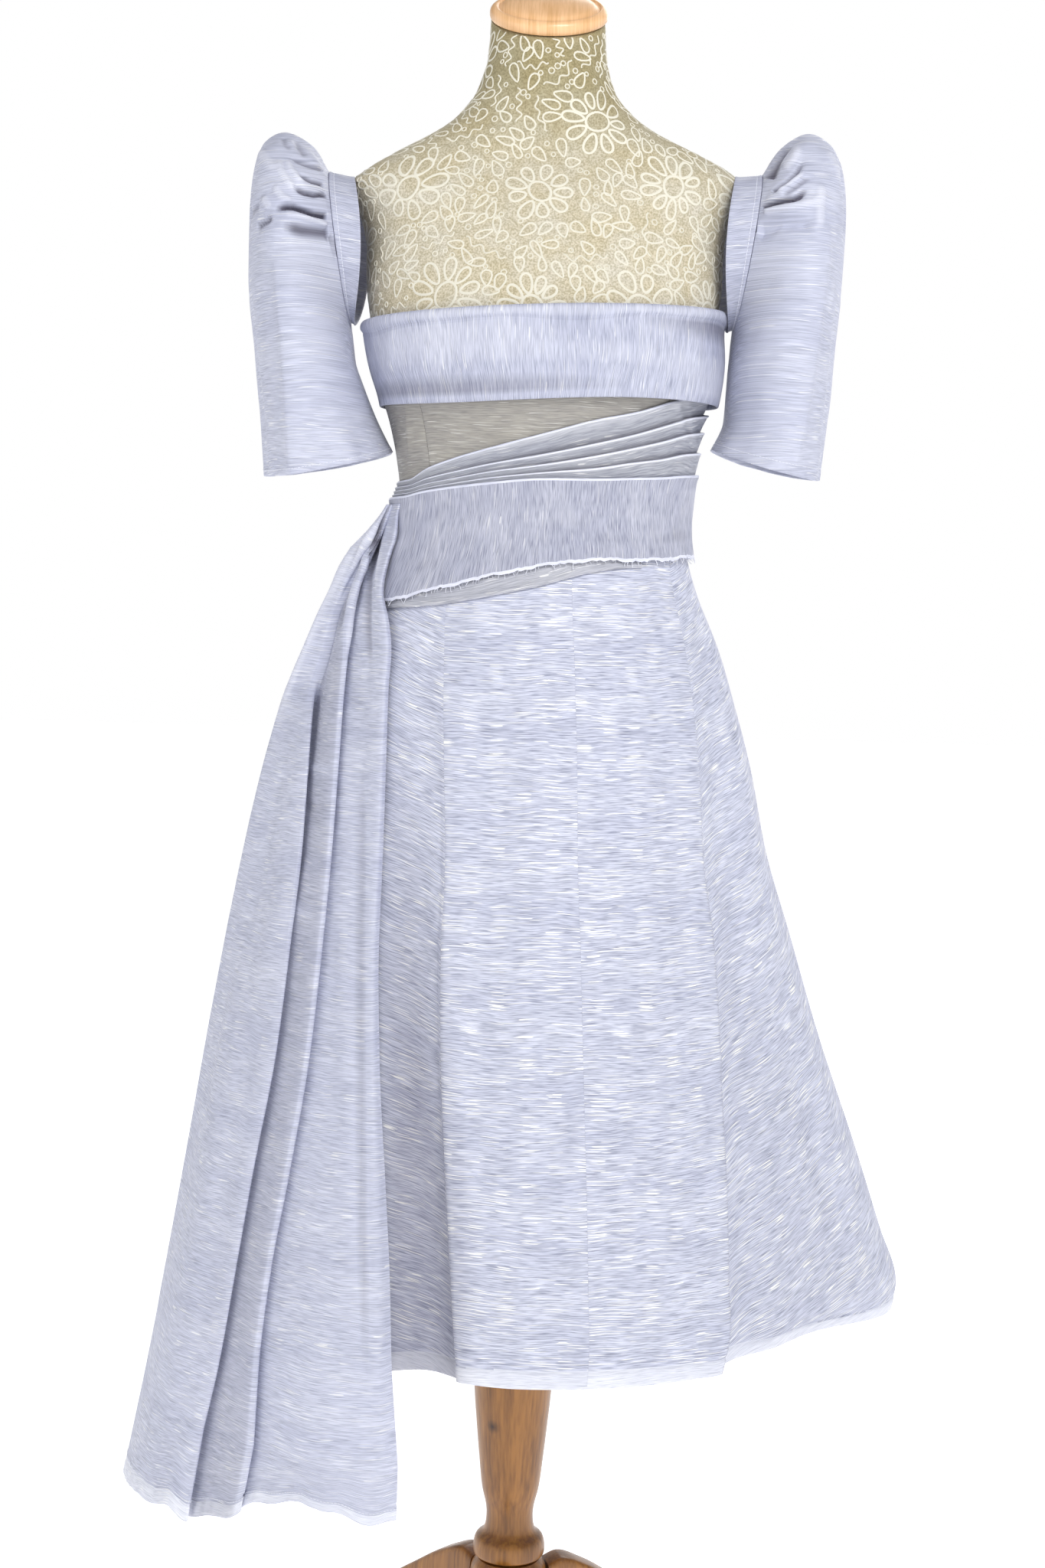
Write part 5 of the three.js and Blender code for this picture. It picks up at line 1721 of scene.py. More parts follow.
@dataclass
class Skirt:
    """Flared skirt in six panels with a hem band.

    Each panel's row holds its name, its two seams, a turn added to the second, its columns, its
    cut across and down and its area in metres, and the slant of its weft.
    """

    levels: int = 116
    hem_band: float = 14.0
    hem_width: float = 360.0
    hem_depth: float = 290.0
    seam_trim: float = 0.03
    corner: float = 11.0
    corner_reach: float = 20.0
    corner_fall: float = 4.0
    # Fold depth that scales the painted shade in the skirt's valleys
    deep: float = 36.0
    seam_reach: float = 2.2
    fine_height: float = 34.0
    fine_rows: int = 26
    lift: float = 11.0
    lift_azimuth: float = 56.0
    lift_reach: float = 24.0
    panels: tuple[tuple[str, str, str, float, int, float, float, float, float], ...] = (
        ("skirt_front_centre_left", "left", "centre", 0, 56, 0.16, 0.77, 0.091, 0.0),
        ("skirt_front_centre_right", "centre", "right", 0, 56, 0.16, 0.77, 0.0965, 0.0),
        ("skirt_side_right", "right", "right_side", 0, 84, 0.39, 0.78, 0.18, 0.36),
        ("skirt_back_right", "right_side", "back", 0, 84, 0.44, 0.77, 0.23, -0.2),
        ("skirt_back_left", "back", "left_side", 0, 84, 0.41, 0.77, 0.215, 0.2),
        ("skirt_side_left", "left_side", "left", 360, 96, 0.47, 0.77, 0.25, -0.3),
    )
    creases: tuple[Crease, ...] = drawn(Side.FRONT, (
        (2.2, 17, 1, -72, 1092, -66, 980, -60, 800, -52, 560),
        (-1.8, 15, 1, -34, 1060, -34, 900, -30, 640, -28, 470),
        (1.4, 18, 1, 6, 1085, 4, 880, 8, 700),
        (-1.8, 14, 1, 24, 940, 30, 720, 34, 450),
        (1.6, 16, 1, 86, 1090, 88, 960, 96, 760),
        (2.0, 15, 1, 70, 860, 84, 640, 92, 448),
        (-1.6, 9, 1, -96, 1070, -92, 900, -84, 720),
        (-2.4, 11, 1, 142, 1110, 168, 960, 190, 780),
        (2.2, 13, 1, 128, 1060, 150, 860, 176, 620),
        (2.6, 14, 1, 200, 900, 230, 700, 262, 500),
        (-2.2, 12, 1, 222, 860, 262, 640, 300, 470),
        (0.5, 3, 1, -30, 1000, -18, 995, 4, 998),
        (0.5, 3, 1, -66, 905, -50, 896, -36, 900),
        (0.5, 3, 1, 40, 1000, 60, 1010, 84, 1004),
        (1.0, 6, 1, 150, 700, 170, 690, 196, 700),
    )) + drawn(Side.BACK, (
        (3.0, 16, 1, -150, 1080, -120, 900, -110, 640, -100, 450),
        (-2.4, 14, 1, -60, 1060, -54, 820, -40, 600),
        (2.6, 16, 1, -10, 980, 4, 760, 0, 480),
        (-2.6, 13, 1, 60, 1080, 80, 860, 92, 560),
        (2.8, 15, 1, 130, 1020, 160, 760, 190, 470),
    )) + drawn(Side.RIGHT, (
        (2.6, 14, 1, -40, 1040, -60, 800, -90, 500),
        (-2.4, 13, 1, 30, 1080, 40, 860, 60, 620),
        (2.6, 14, 1, 90, 900, 110, 700, 140, 460),
    )) + drawn(Side.LEFT, (
        (2.6, 14, 1, 40, 1060, 60, 820, 80, 520),
        (-2.4, 12, 1, 100, 980, 120, 760, 160, 500),
    ))

    def seam_at(self, seam: str, z: Grid) -> Grid:
        """Azimuth of a seam at each level."""
        waist, middle, hem = SKIRT_SEAMS[seam]
        drop = (WAIST_Z - z) / (WAIST_Z - HEM_Z)
        upper = waist + (middle - waist) * (1 - np.power(np.clip(1 - 2 * drop, 0, 1), 1.6))
        return np.where(drop < 0.5, upper, middle + (hem - middle) * (2 * drop - 1))

    def build(self, finishes: Finishes) -> list[Piece]:
        """Builds the panels with their hem bands; returns them."""
        made = []
        share = np.linspace(0, 1, self.levels)
        z = WAIST_Z + (HEM_Z - WAIST_Z) * share
        low = np.linspace(HEM_Z + self.fine_height - 1, HEM_Z, self.fine_rows)
        z = np.concatenate([z[z > HEM_Z + self.fine_height], low])
        for name, first, last, turn, count, wide, tall, area, slant in self.panels:
            radius = read(SKIRT_ROWS, z)[2]
            trim = np.degrees(self.seam_trim / radius)
            start = self.seam_at(first, z) + trim
            end = self.seam_at(last, z) + turn - trim
            across = np.linspace(0, 1, count)
            across = across - 0.7 * np.sin(2 * np.pi * across) / (2 * np.pi)
            azimuth = start[:, None] + (end - start)[:, None] * across
            rise = self.lift * bump(wrap_angle(azimuth - self.lift_azimuth) / self.lift_reach)
            rise = rise * np.clip((HEM_TURN_Z - z[:, None]) / (HEM_TURN_Z - HEM_Z), 0, 1)
            level = z[:, None] + rise
            face = skirt_point(azimuth, level, 0.0)
            normals = grid_normals(face, False)
            above = z[:, None] - HEM_Z
            run = np.cumsum(np.linalg.norm(np.diff(face, axis=1), axis=-1), axis=1)
            place = np.concatenate([np.zeros((len(z), 1)), run], axis=1)
            back = place[:, -1:] - place
            edge = bump(place / self.seam_reach) + bump(back / self.seam_reach)
            relief = crease_relief(face, normals, self.creases)
            relief = relief * ease((1130 - level) / 60) - 0.5 * edge
            inside = name.startswith("skirt_front")
            reach = self.corner_reach if inside else self.corner_fall
            growth = np.power(fold_share(level), FOLD_GROWTH)
            for seam, away in ((first, place), (last, back)):
                if seam in ("left", "right"):
                    relief += self.corner * growth * bump(away / reach)
            pucker = 0.35 * np.sin(place / 5.3 + 1.1 * np.sin(place / 17))
            relief += bump((above - self.hem_band) / 1.6) * (-0.9 + pucker)
            relief += 0.5 * ease((self.hem_band - above) / 3) + 0.4 * pucker * bump(above / 14)
            outer = face + normals * relief[..., None]
            inner = outer - normals * CLOTH
            # The valley beside the sash lies in the deepest shade
            shade = 0.35 + 0.65 * ease((10 - wrap_angle(azimuth)) / 20)
            fold_shading = shade * np.clip(skirt_wave(azimuth, level) / self.deep, -0.6, 0) - 0.12 * edge
            obj = shell(name + "_cloth", outer, inner, False, slant, fold_shading=fold_shading)
            obj.data.materials.append(finishes.dress)
            obj.data.materials.append(finishes.facing)
            self.paint_hem(obj)
            dress_piece(obj, finishes.dress, [name])
            made.append(obj)
        return made

    def paint_hem(self, obj: Piece) -> None:
        """Gives the faces of the hem band the facing cloth."""
        for polygon in obj.data.polygons:
            x, y, z = polygon.center / MILLIMETRE
            azimuth = math.degrees(math.atan2(x / self.hem_width, -y / self.hem_depth))
            rise = self.lift * math.exp(-(((azimuth - self.lift_azimuth) / self.lift_reach) ** 2))
            if z < HEM_Z + self.hem_band + 0.4 * rise:
                polygon.material_index = 1


@dataclass
class Sash:
    """Sash cascade that hangs from the gather at the left hip, folded twice."""

    levels: int = 100
    tuck: float = 7.0
    tuck_z: float = 1146.0
    flat: tuple[float, float] = (0.55, 0.96)
    area: float = 0.34
    hem_band: float = 14.0
    hem_rows: int = 30
    hem_spread: float = 0.075
    hem_still_x: float = -94.0
    # Strips that lie back between the folds: first and last column, soft starts, depth of shade
    strips: tuple[tuple[int, int, int, int, float], ...] = (
        (58, 92, 8, 6, 0.34), (20, 46, 10, 6, 0.14),
    )
    creases: tuple[Crease, ...] = (
        Crease(((-141, 1178), (-165, 1127), (-184, 1086)), 2.6, 5, 1.6, fade=(0.2, 0.7)),
    ) + drawn(Side.FRONT, (
        (2.6, 4, 1.6, -141, 1172, -163, 1118, -168, 1088, -169, 1061, -165, 1020),
        (2.0, 3, 1, -150, 1150, -156, 1126, -156, 1090),
        (-2.4, 4, 1, -147, 1150, -172, 1100, -178, 1050),
        (-2.4, 4, 1, -139, 1165, -152, 1110, -150, 1060, -144, 1010),
    )) + drawn(Side.FRONT, (
        (2.0, 2.2, 1, -134, 1174, -140, 1140, -143, 1104, -141, 1080),
        (-2.0, 2.0, 1, -137, 1174, -148, 1140, -153, 1112),
        (1.8, 2.2, 1, -139, 1174, -153, 1142, -162, 1112, -164, 1096),
        (-2.0, 2.2, 1, -141, 1174, -158, 1144, -171, 1116, -178, 1098),
        (1.8, 2.6, 1, -142, 1172, -163, 1144, -180, 1112, -190, 1086),
    ), (0.05, 0.4)) + drawn(Side.FRONT, (
        (2.2, 6, 2, -160, 1150, -195, 1081, -212, 1043, -225, 1010, -238, 940),
        (2.0, 8, 1, -170, 1020, -162, 841, -149, 605, -138, 365),
        (-1.8, 6, 1, -152, 1000, -146, 800, -134, 560, -120, 340),
        (-2.6, 13, 1, -236, 900, -250, 700, -268, 480, -290, 300),
        (3.2, 14, 1, -256, 860, -272, 640, -300, 400, -330, 280),
        (1.2, 4, 1, -206, 930, -190, 938, -176, 930),
        (-0.9, 4, 1, -205, 902, -192, 896, -180, 900),
        (1.0, 4, 1, -242, 940, -228, 930, -214, 936),
        (0.9, 4, 1, -246, 760, -232, 752, -220, 756),
        (0.8, 4, 1, -212, 812, -196, 806, -186, 812),
        (1.0, 4, 1, -172, 980, -156, 988, -140, 982),
    )) + drawn(Side.LEFT, (
        (3.0, 14, 1, 0, 1080, -20, 900, -30, 700, -40, 400),
        (-2.8, 13, 1, -40, 1000, -66, 800, -80, 560),
        (2.6, 14, 1, -96, 900, -120, 700, -150, 420),
    ))

    def path(self, z: float, left: float, edge1: float, edge2: float, right: float,
             lift: float, pile: float) -> Grid:
        """Level path from the sash's right edge round the left side to its back edge.

        Args:
            z: level.
            left: outline on the left.
            edge1, edge2: edges of the two upper folds.
            right: right edge.
            lift: distance off the skirt.
            pile: how far the folds stand out, as a share.

        Returns:
            Points along the path, in millimetres.
        """
        level = np.array(float(np.clip(z, HEM_Z, 1148)))
        reach = float(read(SKIRT_ROWS, level)[0])
        side = abs(left) - reach
        under = 5 * max(0.0, pile - 0.6) / 0.4
        marks = (
            (right, lift), (right - 0.1 * (right - edge2), lift + 7 * pile),
            (right - 0.5 * (right - edge2), lift + 2 * pile),
            (right - 0.78 * (right - edge2), lift + pile), (edge2 - under, lift + 3 * pile),
            (edge2 - 0.2 * under, lift + 8 * pile),
            (edge2 - 0.18 * (edge2 - edge1), lift + 12 * pile),
            (edge2 - 0.55 * (edge2 - edge1), lift + 12 * pile),
            (edge1 + 0.1 * (edge2 - edge1) - under, lift + 11 * pile),
            (edge1 - 0.6 * under, lift + 14 * pile), (edge1, lift + 18 * pile),
            (edge1 - 0.15 * (edge1 - left), lift + 22 * pile),
        )
        angles = [math.degrees(math.asin(max(-0.995, x / (reach + off)))) for x, off in marks]
        offsets = [off for _, off in marks]
        last = angles[-1]
        for share in (0.4, 0.75, 1.0):
            angles.append(last + (-88 - last) * share)
            offsets.append(max(marks[11][1] + (side - 1 - marks[11][1]) * share, lift + 2))
        angles.append(-97.0)
        offsets.append(max(0.55 * side, lift + 1))
        levels = np.full(len(angles), float(level))
        points = skirt_point(np.array(angles), levels, np.array(offsets))
        points[:, 2] = z
        return soft_curve(points, 11)

    def grid(self) -> Grid:
        """Middle face of the sash: level rows and then rows down to the slanting hem."""
        z = np.linspace(SASH_ROWS[0][0], SASH_ROWS[-1][0], self.levels)
        table = read(SASH_ROWS, z)
        # The gathered end runs in behind the wrap
        hidden = ease((z - self.tuck_z) / (z[0] - self.tuck_z))
        table[4] = table[4] - self.tuck * hidden
        table[5] = table[5] * (1 - 0.6 * hidden)
        rows = [self.path(level, *(float(c[i]) for c in table)) for i, level in enumerate(z)]
        last = rows[-1]
        x = last[:, 0]
        hem_x, hem_z = (np.array(c, float) for c in zip(*SASH_HEM))
        goal = last.copy()
        goal[:, 0] = x + self.hem_spread * (x - self.hem_still_x)
        goal[:, 2] = follow(hem_x, hem_z, x) + 1.5 * np.sin(x / 6)
        for share in np.linspace(0, 1, self.hem_rows + 1)[1:]:
            rows.append(last + (goal - last) * share)
        return np.array(rows)

    def build(self, finishes: Finishes, stitches: StitchRow) -> list[Piece]:
        """Builds the sash with its puckered hem.

        Args:
            finishes: all finishes.
            stitches: maker of stitch rows.

        Returns:
            The pieces.
        """
        middle = self.grid()
        normals = grid_normals(middle, False)
        relief = crease_relief(middle, normals, self.creases)
        hang = middle[:, :, 2] - middle[-1][None, :, 2]
        along = lengths(middle[-1])
        pucker = np.sin(along / 3.1 + 1.4 * np.sin(along / 13))[None]
        relief += bump((hang - self.hem_band) / 1.8) * (-0.8 + 0.5 * pucker)
        relief += 0.7 * pucker * bump((hang - 6) / 9)
        relief *= ease((np.arange(len(middle))[:, None]) / 6)
        outer, inner = walls(middle, normals, relief, CLOTH)
        # Painted shade in the sharp troughs and a painted highlight on the sharp ridges; the
        # strips between the folds get more painted shade
        sharp = [crease for crease in self.creases if crease.width < 6.5]
        fold_shading = np.clip(crease_relief(middle, normals, sharp) / 5, -0.7, 0.4)
        column = np.arange(middle.shape[1])[None]
        for first, last, rise, fall, shade in self.strips:
            fold_shading = fold_shading - shade * ease((column - first) / rise) * ease((last - column) / fall)
        obj = shell("sash_cascade_cloth", outer, inner, False, fold_shading=fold_shading)
        obj.data.materials.append(finishes.sash)
        obj.data.materials.append(finishes.facing)
        wide = middle.shape[1] - 1
        low = int(np.sum(hang.mean(axis=1) > self.hem_band)) * wide
        for polygon in obj.data.polygons[low : (len(middle) - 1) * wide]:
            polygon.material_index = 1
        dress_piece(obj, finishes.sash, ["sash_cascade"])
        row = len(middle) - 1 - int(np.argmax((hang[::-1] > self.hem_band).mean(axis=1) > 0.5))
        line = outer[row] + normals[row] * THREAD_REST
        sewn = stitches.lay("sash_hem_stitches", [line], finishes.thread)
        dress_piece(sewn, finishes.thread)
        return [obj, sewn]


# Pleats of the left sleeve's cap, drawn from the puff inwards to the binding
LEFT_PLEATS = (
    Crease(((-222.9, 1468.8), (-217.1, 1464.5), (-209.5, 1462.1), (-200, 1461.8)), -5.0, 2.3,
           fade=(0.35, 0.02)),
    Crease(((-226.6, 1457.2), (-221, 1452.3), (-215, 1449.9), (-206.9, 1448.9), (-197, 1451.5)),
           -5.0, 2.4, fade=(0.3, 0.02)),
    Crease(((-242.5, 1432), (-236.7, 1434.5), (-229.6, 1436), (-223.7, 1435.9), (-214.2, 1433.5),
            (-205.4, 1431.3), (-195, 1431)), -7.0, 2.8, 0.8, fade=(0.25, 0.02)),
    Crease(((-234.8, 1429.1), (-224.8, 1428.7), (-213.7, 1427.2), (-202.8, 1425.2),
            (-193.7, 1421.9)), 3.4, 2.8, fade=(0.3, 0.1)),
    Crease(((-235, 1424.3), (-227.2, 1418.3), (-214.9, 1416.3), (-202.9, 1416.3), (-193, 1416.4)),
           -4.6, 4.6, 1.4, fade=(0.4, 0.02)),
    Crease(((-241.2, 1482.2), (-236.4, 1469.4), (-229.1, 1457.3), (-219.5, 1447.8)), 3.0, 3.2),
    Crease(((-233, 1482.4), (-228.7, 1471.4), (-222.1, 1463.5), (-213.7, 1457.3)), 2.6, 2.8),
    Crease(((-242.9, 1455.6), (-234.2, 1444.9), (-223.9, 1439)), 2.6, 3.0),
    Crease(((-257.9, 1419.9), (-248, 1423), (-241.6, 1428.7)), -4.0, 2.6, 1.4, fade=(0.1, 0.3)),
    Crease(((-252.3, 1446.4), (-243.1, 1433.7)), 3.0, 3.0),
    Crease(((-203, 1476), (-216, 1479.4), (-232, 1484)), -3.4, 2.2, 1.2, fade=(0.02, 0.4)),
    Crease(((-228, 1506), (-224, 1494), (-214, 1484)), -2.6, 3.0),
    Crease(((-240, 1508), (-236, 1497), (-228, 1490)), -2.2, 3.0),
    Crease(((-262, 1496), (-248.8, 1478), (-238, 1466)), 2.0, 4.5),
)
LEFT_CREASES = drawn(Side.FRONT, (
    (-2.6, 2.6, 1.8, -268, 1432, -262.7, 1438.1, -254, 1441),
)) + (
    Crease(((-238, 1404), (-231, 1350), (-227, 1320), (-223, 1270), (-218, 1206)), 5.0, 15, 0.4,
           fade=(0.25, 0.02)),
) + drawn(Side.FRONT, (
    (1.8, 7, 1, -255, 1412, -232, 1416, -208, 1426),
    (-1.6, 7, 1, -246, 1398, -224, 1392, -200, 1396),
    (1.4, 6, 1, -228, 1372, -210, 1380, -194, 1392),
    (1.3, 6, 1, -222, 1334, -206, 1344, -190, 1356),
    (-1.2, 6, 1, -220, 1300, -204, 1294, -186, 1300),
    (1.0, 6, 1, -216, 1262, -200, 1268, -180, 1274),
)) + (
    Crease(((-192, 1414.4), (-188, 1405), (-184, 1392)), -2.6, 3.0, fade=(0.05, 0.3)),
) + drawn(Side.FRONT, (
    (-2.0, 6.0, 1, -240.5, 1405.7, -224.8, 1402.2, -208.4, 1405.8),
))

# Puffed fold and pleats of the right sleeve's cap, drawn from the binding outwards
RIGHT_PLEATS = (
    Crease(((197, 1449.5), (207.7, 1452.9), (215.3, 1454.5), (222.4, 1455), (227.8, 1457.5),
            (231.2, 1461.7), (235.5, 1467)), -6.0, 2.6, fade=(0.02, 0.3)),
    Crease(((203, 1478), (211.3, 1495.8), (218.2, 1506.9), (224, 1515)), -5.0, 3.8,
           fade=(0.02, 0.3)),
    Crease(((205, 1464), (209.2, 1466.5), (216.8, 1471.3), (225.1, 1480.9), (233.3, 1496)),
           -4.0, 2.5, fade=(0.02, 0.35)),
    Crease(((212, 1458.5), (222.6, 1465.2), (232.3, 1473.1), (241.6, 1474.1)), -3.0, 2.8),
    Crease(((207.6, 1462.1), (218, 1467.5), (227.8, 1475.8), (233.7, 1483.7)), 2.6, 2.8),
    Crease(((214, 1484), (224, 1494), (232, 1508)), 2.6, 3.4),
    Crease(((198, 1446), (213.8, 1447.6), (227.7, 1449.4), (239.6, 1452.5), (245.6, 1458.4)),
           3.4, 3.2, fade=(0.05, 0.25)),
    Crease(((192, 1425.5), (201.4, 1430.4), (210.5, 1433.3), (222.8, 1434), (233.8, 1432.1),
            (242, 1430.4)), -6.0, 6.6, fade=(0.02, 0.25)),
    Crease(((247.7, 1472), (245.5, 1448.5), (244.7, 1424)), 2.4, 4.0),
    Crease(((252, 1504), (262, 1490), (266, 1472)), 1.6, 4.0),
)
RIGHT_CREASES = (
    Crease(((252, 1450), (250, 1400), (243, 1330), (236, 1270), (228, 1222)), 4.6, 6, 2.4,
           fade=(0.2, 0.02)),
) + drawn(Side.FRONT, (
    (1.8, 7, 1, 204, 1430, 216, 1424, 236, 1426),
    (-1.4, 7, 1, 196, 1378, 214, 1370, 236, 1374),
    (1.4, 7, 1, 192, 1340, 210, 1334, 232, 1340),
    (-1.3, 6, 1, 190, 1300, 204, 1312, 214, 1322),
    (1.2, 5, 1, 196, 1286, 206, 1276, 214, 1262),
    (1.2, 4, 1, 252, 1352, 258, 1372, 262, 1392),
    (-1.0, 6, 1, 186, 1262, 204, 1256, 222, 1258),
))
# The same kinds of pleats and creases at the back, placed anew; x as on the right sleeve
BACK_PLEATS = (
    Crease(((200, 1440), (222, 1447), (250, 1445)), -3.4, 3.6, 1.6, Side.BACK, (0.02, 0.25)),
    Crease(((201, 1448), (222, 1457), (248, 1458)), 3.4, 4.6, 1.0, Side.BACK, (0.05, 0.3)),
    Crease(((203, 1458), (226, 1468), (246, 1478)), -3.0, 3.0, 1.6, Side.BACK, (0.02, 0.3)),
    Crease(((205, 1466), (224, 1480), (240, 1494)), 2.8, 4.0, 1.0, Side.BACK, (0.05, 0.3)),
    Crease(((207, 1476), (222, 1492), (234, 1508)), -2.8, 2.8, 1.6, Side.BACK, (0.02, 0.3)),
    Crease(((196, 1424), (214, 1428), (240, 1422)), -2.0, 4.0, 1.4, Side.BACK, (0.02, 0.4)),
) + drawn(Side.BACK, (
    (2.6, 10, 1, 250, 1440, 246, 1380, 238, 1300, 230, 1226),
    (1.5, 7, 1, 200, 1380, 220, 1370, 244, 1378),
    (-1.4, 7, 1, 196, 1320, 214, 1330, 236, 1322),
)) + drawn(Side.RIGHT, (
    (-2.6, 5, 1.4, -40, 1490, -30, 1460, -36, 1420),
    (-2.4, 5, 1.4, -12, 1512, -6, 1478, -10, 1430),
    (-2.6, 5, 1.4, 22, 1508, 28, 1470, 20, 1420),
    (2.2, 6, 1, 46, 1484, 50, 1452, 44, 1410),
    (2.4, 11, 1, 6, 1400, 10, 1330, 4, 1240),
    (-2.0, 10, 1, -44, 1380, -40, 1300, -48, 1230),
))


def mirrored(creases: Sequence[Crease]) -> tuple[Crease, ...]:
    """Creases of the right sleeve carried over to the left one, a little smaller and lower."""
    made = []
    for crease in creases:
        seen_aside = crease.side is Side.RIGHT
        if seen_aside:
            line = tuple((0.95 * u + 3, z - 10) for u, z in crease.line)
        else:
            line = tuple((3 - u, z - 8) for u, z in crease.line)
        side = Side.LEFT if seen_aside else crease.side
        made.append(replace(crease, line=line, height=crease.height * 0.9, side=side))
    return tuple(made)


@dataclass
class Sleeve:
    """One butterfly sleeve, pleated into its binding."""

    name: str
    way: float
    rings: tuple[tuple[float, ...], ...]
    binding: tuple[float, ...]
    creases: tuple[Crease, ...]
    cuff_phase: float
    around: int = 236
    along: int = 104
    wall: float = 1.6
    cuff_drop: float = 9.0
    cuff_band: float = 7.0
    crowding: float = 1.25
    arm_x: float = 150.0
    arm_radius: float = 110.0
    flat: tuple[float, float] = (0.54, 0.4)
    area: float = 0.117
    strip_flat: tuple[float, float] = (0.34, 0.03)
    strip_area: float = 0.0084
    strip_width: float = 36.0
    strip_trim: float = 1.7

    def turns(self) -> Grid:
        """Turn of each column in degrees, closest over the pleats at the front."""
        fine = np.linspace(0, 360, 3601)
        dense = 1 + 1.7 * bump((fine - 60) / 44) ** 0.5 + 0.5 * bump((fine - 300) / 44)
        share = np.concatenate([[0], np.cumsum(0.5 * (dense[1:] + dense[:-1]))])
        return np.interp(np.arange(self.around) / self.around, share / share[-1], fine)

    def ring(self, ox: Grid, oz: Grid, ix: Grid, iz: Grid, depth: Grid, sweep: Grid) -> Grid:
        """Rings of the sleeve: turn 0 is the outermost point, a quarter turn the front.

        Args:
            ox, oz: outermost points.
            ix, iz: innermost points.
            depth: half depths.
            sweep: how far front and back draw in towards the neck.

        Returns:
            Rows of points, in millimetres.
        """
        turn = np.radians(self.turns())[None]
        c, s = np.cos(turn), np.sin(turn)
        sizes = (ox, oz, ix, iz, depth, sweep)
        ox, oz, ix, iz, depth, sweep = (np.atleast_1d(size)[:, None] for size in sizes)
        x = (ox + ix) / 2 + (ox - ix) / 2 * c - sweep * s * s
        z = (oz + iz) / 2 + (oz - iz) / 2 * c
        return np.stack([self.way * x, SLEEVE_SHIFT_Y - depth * s, z + 0 * s], -1)

    def build(self, finishes: Finishes, stitches: StitchRow) -> list[Piece]:
        """Builds the sleeve, its binding and its stitch rows.

        Args:
            finishes: all finishes.
            stitches: maker of stitch rows.

        Returns:
            The pieces.
        """
        share = np.linspace(0, 1, self.along)
        last = self.rings[-1][0]
        t = last * (1 - np.power(1 - share, self.crowding))
        ox, oz, ix, iz, depth = read(self.rings, t)
        middle = self.ring(ox, oz, ix, iz, depth, np.zeros_like(t))
        normals = grid_normals(middle, True)
        relief = crease_relief(middle, normals, self.creases)
        turn = np.radians(self.turns()[None])
        upper = np.clip((np.cos(turn) + 0.25) / 0.6, 0, 1)
        gather = bump((t - 7.6)[:, None] / 1.5) * upper
        relief += gather * (1.3 * np.sin(11 * turn + math.pi / 3 * np.sin(2 * turn)))
        relief *= ease((last - t)[:, None] / 0.5) * 0.85 + 0.15
        steps = np.linalg.norm(np.diff(middle, axis=0), axis=-1).mean(axis=1)
        down = np.concatenate([[0], np.cumsum(steps)])[:, None]
        wave = np.sin(7 * turn + math.radians(self.cuff_phase)) + 0.6 * np.sin(13 * turn)
        relief += 0.9 * wave * bump(down / 40)
        relief -= 0.8 * bump((down - self.cuff_band) / 1.3)
        relief += 0.3 * ease((self.cuff_band - down) / 3)
        # The front of the cuff hangs a little lower than its back
        front = np.maximum(np.sin(turn), 0)
        middle[..., 2] -= self.cuff_drop * bump(t / 1.5)[:, None] * front
        outer, inner = walls(middle, normals, relief, self.wall)
        # The weft lies level and the threads run round the arm
        aside, ahead = np.abs(middle[..., 0]) - self.arm_x, SLEEVE_SHIFT_Y - middle[..., 1]
        cloth = np.stack([self.arm_radius * np.arctan2(aside, ahead), middle[..., 2]], -1)
        cloth = np.concatenate([cloth, cloth[:, :1]], axis=1)
        sharp = [crease for crease in self.creases if crease.width < 4.8]
        fold_shading = np.clip(crease_relief(middle, normals, sharp) / 5, -1.2, 0.35)
        sleeve = shell(f"sleeve_{self.name}_cloth", outer, inner, True, uv=cloth, fold_shading=fold_shading)
        dress_piece(sleeve, finishes.sleeve, [f"sleeve_{self.name}"])
        row = int(np.argmin(np.abs(down[:, 0] - self.cuff_band)))
        line = looped(outer[row] + normals[row] * THREAD_REST)
        sewn = stitches.lay(f"cuff_stitches_{self.name}", [line], finishes.thread)
        dress_piece(sewn, finishes.thread)
        strip = self.strip(finishes, stitches)
        return [sleeve, sewn, *strip]

    def strip(self, finishes: Finishes, stitches: StitchRow) -> list[Piece]:
        """Builds the binding strip with its edge stitching; returns both."""
        join = self.rings[-1]
        trim = self.strip_trim
        first = np.array([join[1] - trim, join[2], join[3] - trim, join[4], join[5], 0.0])
        last = np.array([*self.binding, BINDING_SWEEP])
        share = np.linspace(0, 1, 13)
        rows = first[None] + (last - first)[None] * share[:, None]
        middle = self.ring(*rows.T)
        normals = grid_normals(middle, True)
        place = share * self.strip_width
        rolled = 0.5 * bump(place / 3) + 0.7 * bump((self.strip_width - place) / 3.5)
        rolled = rolled - 0.5 * bump((place - 5) / 1.2)
        outer, inner = walls(middle, normals, np.zeros(middle.shape[:2]), self.wall)
        outer = outer + normals * rolled[:, None, None]
        strip = shell(f"sleeve_binding_{self.name}_cloth", outer, inner, True)
        dress_piece(strip, finishes.band, [f"sleeve_binding_{self.name}"])
        line = looped(outer[2] + normals[2] * THREAD_REST)
        sewn = stitches.lay(f"binding_stitches_{self.name}", [line], finishes.thread)
        dress_piece(sewn, finishes.thread)
        return [strip, sewn]


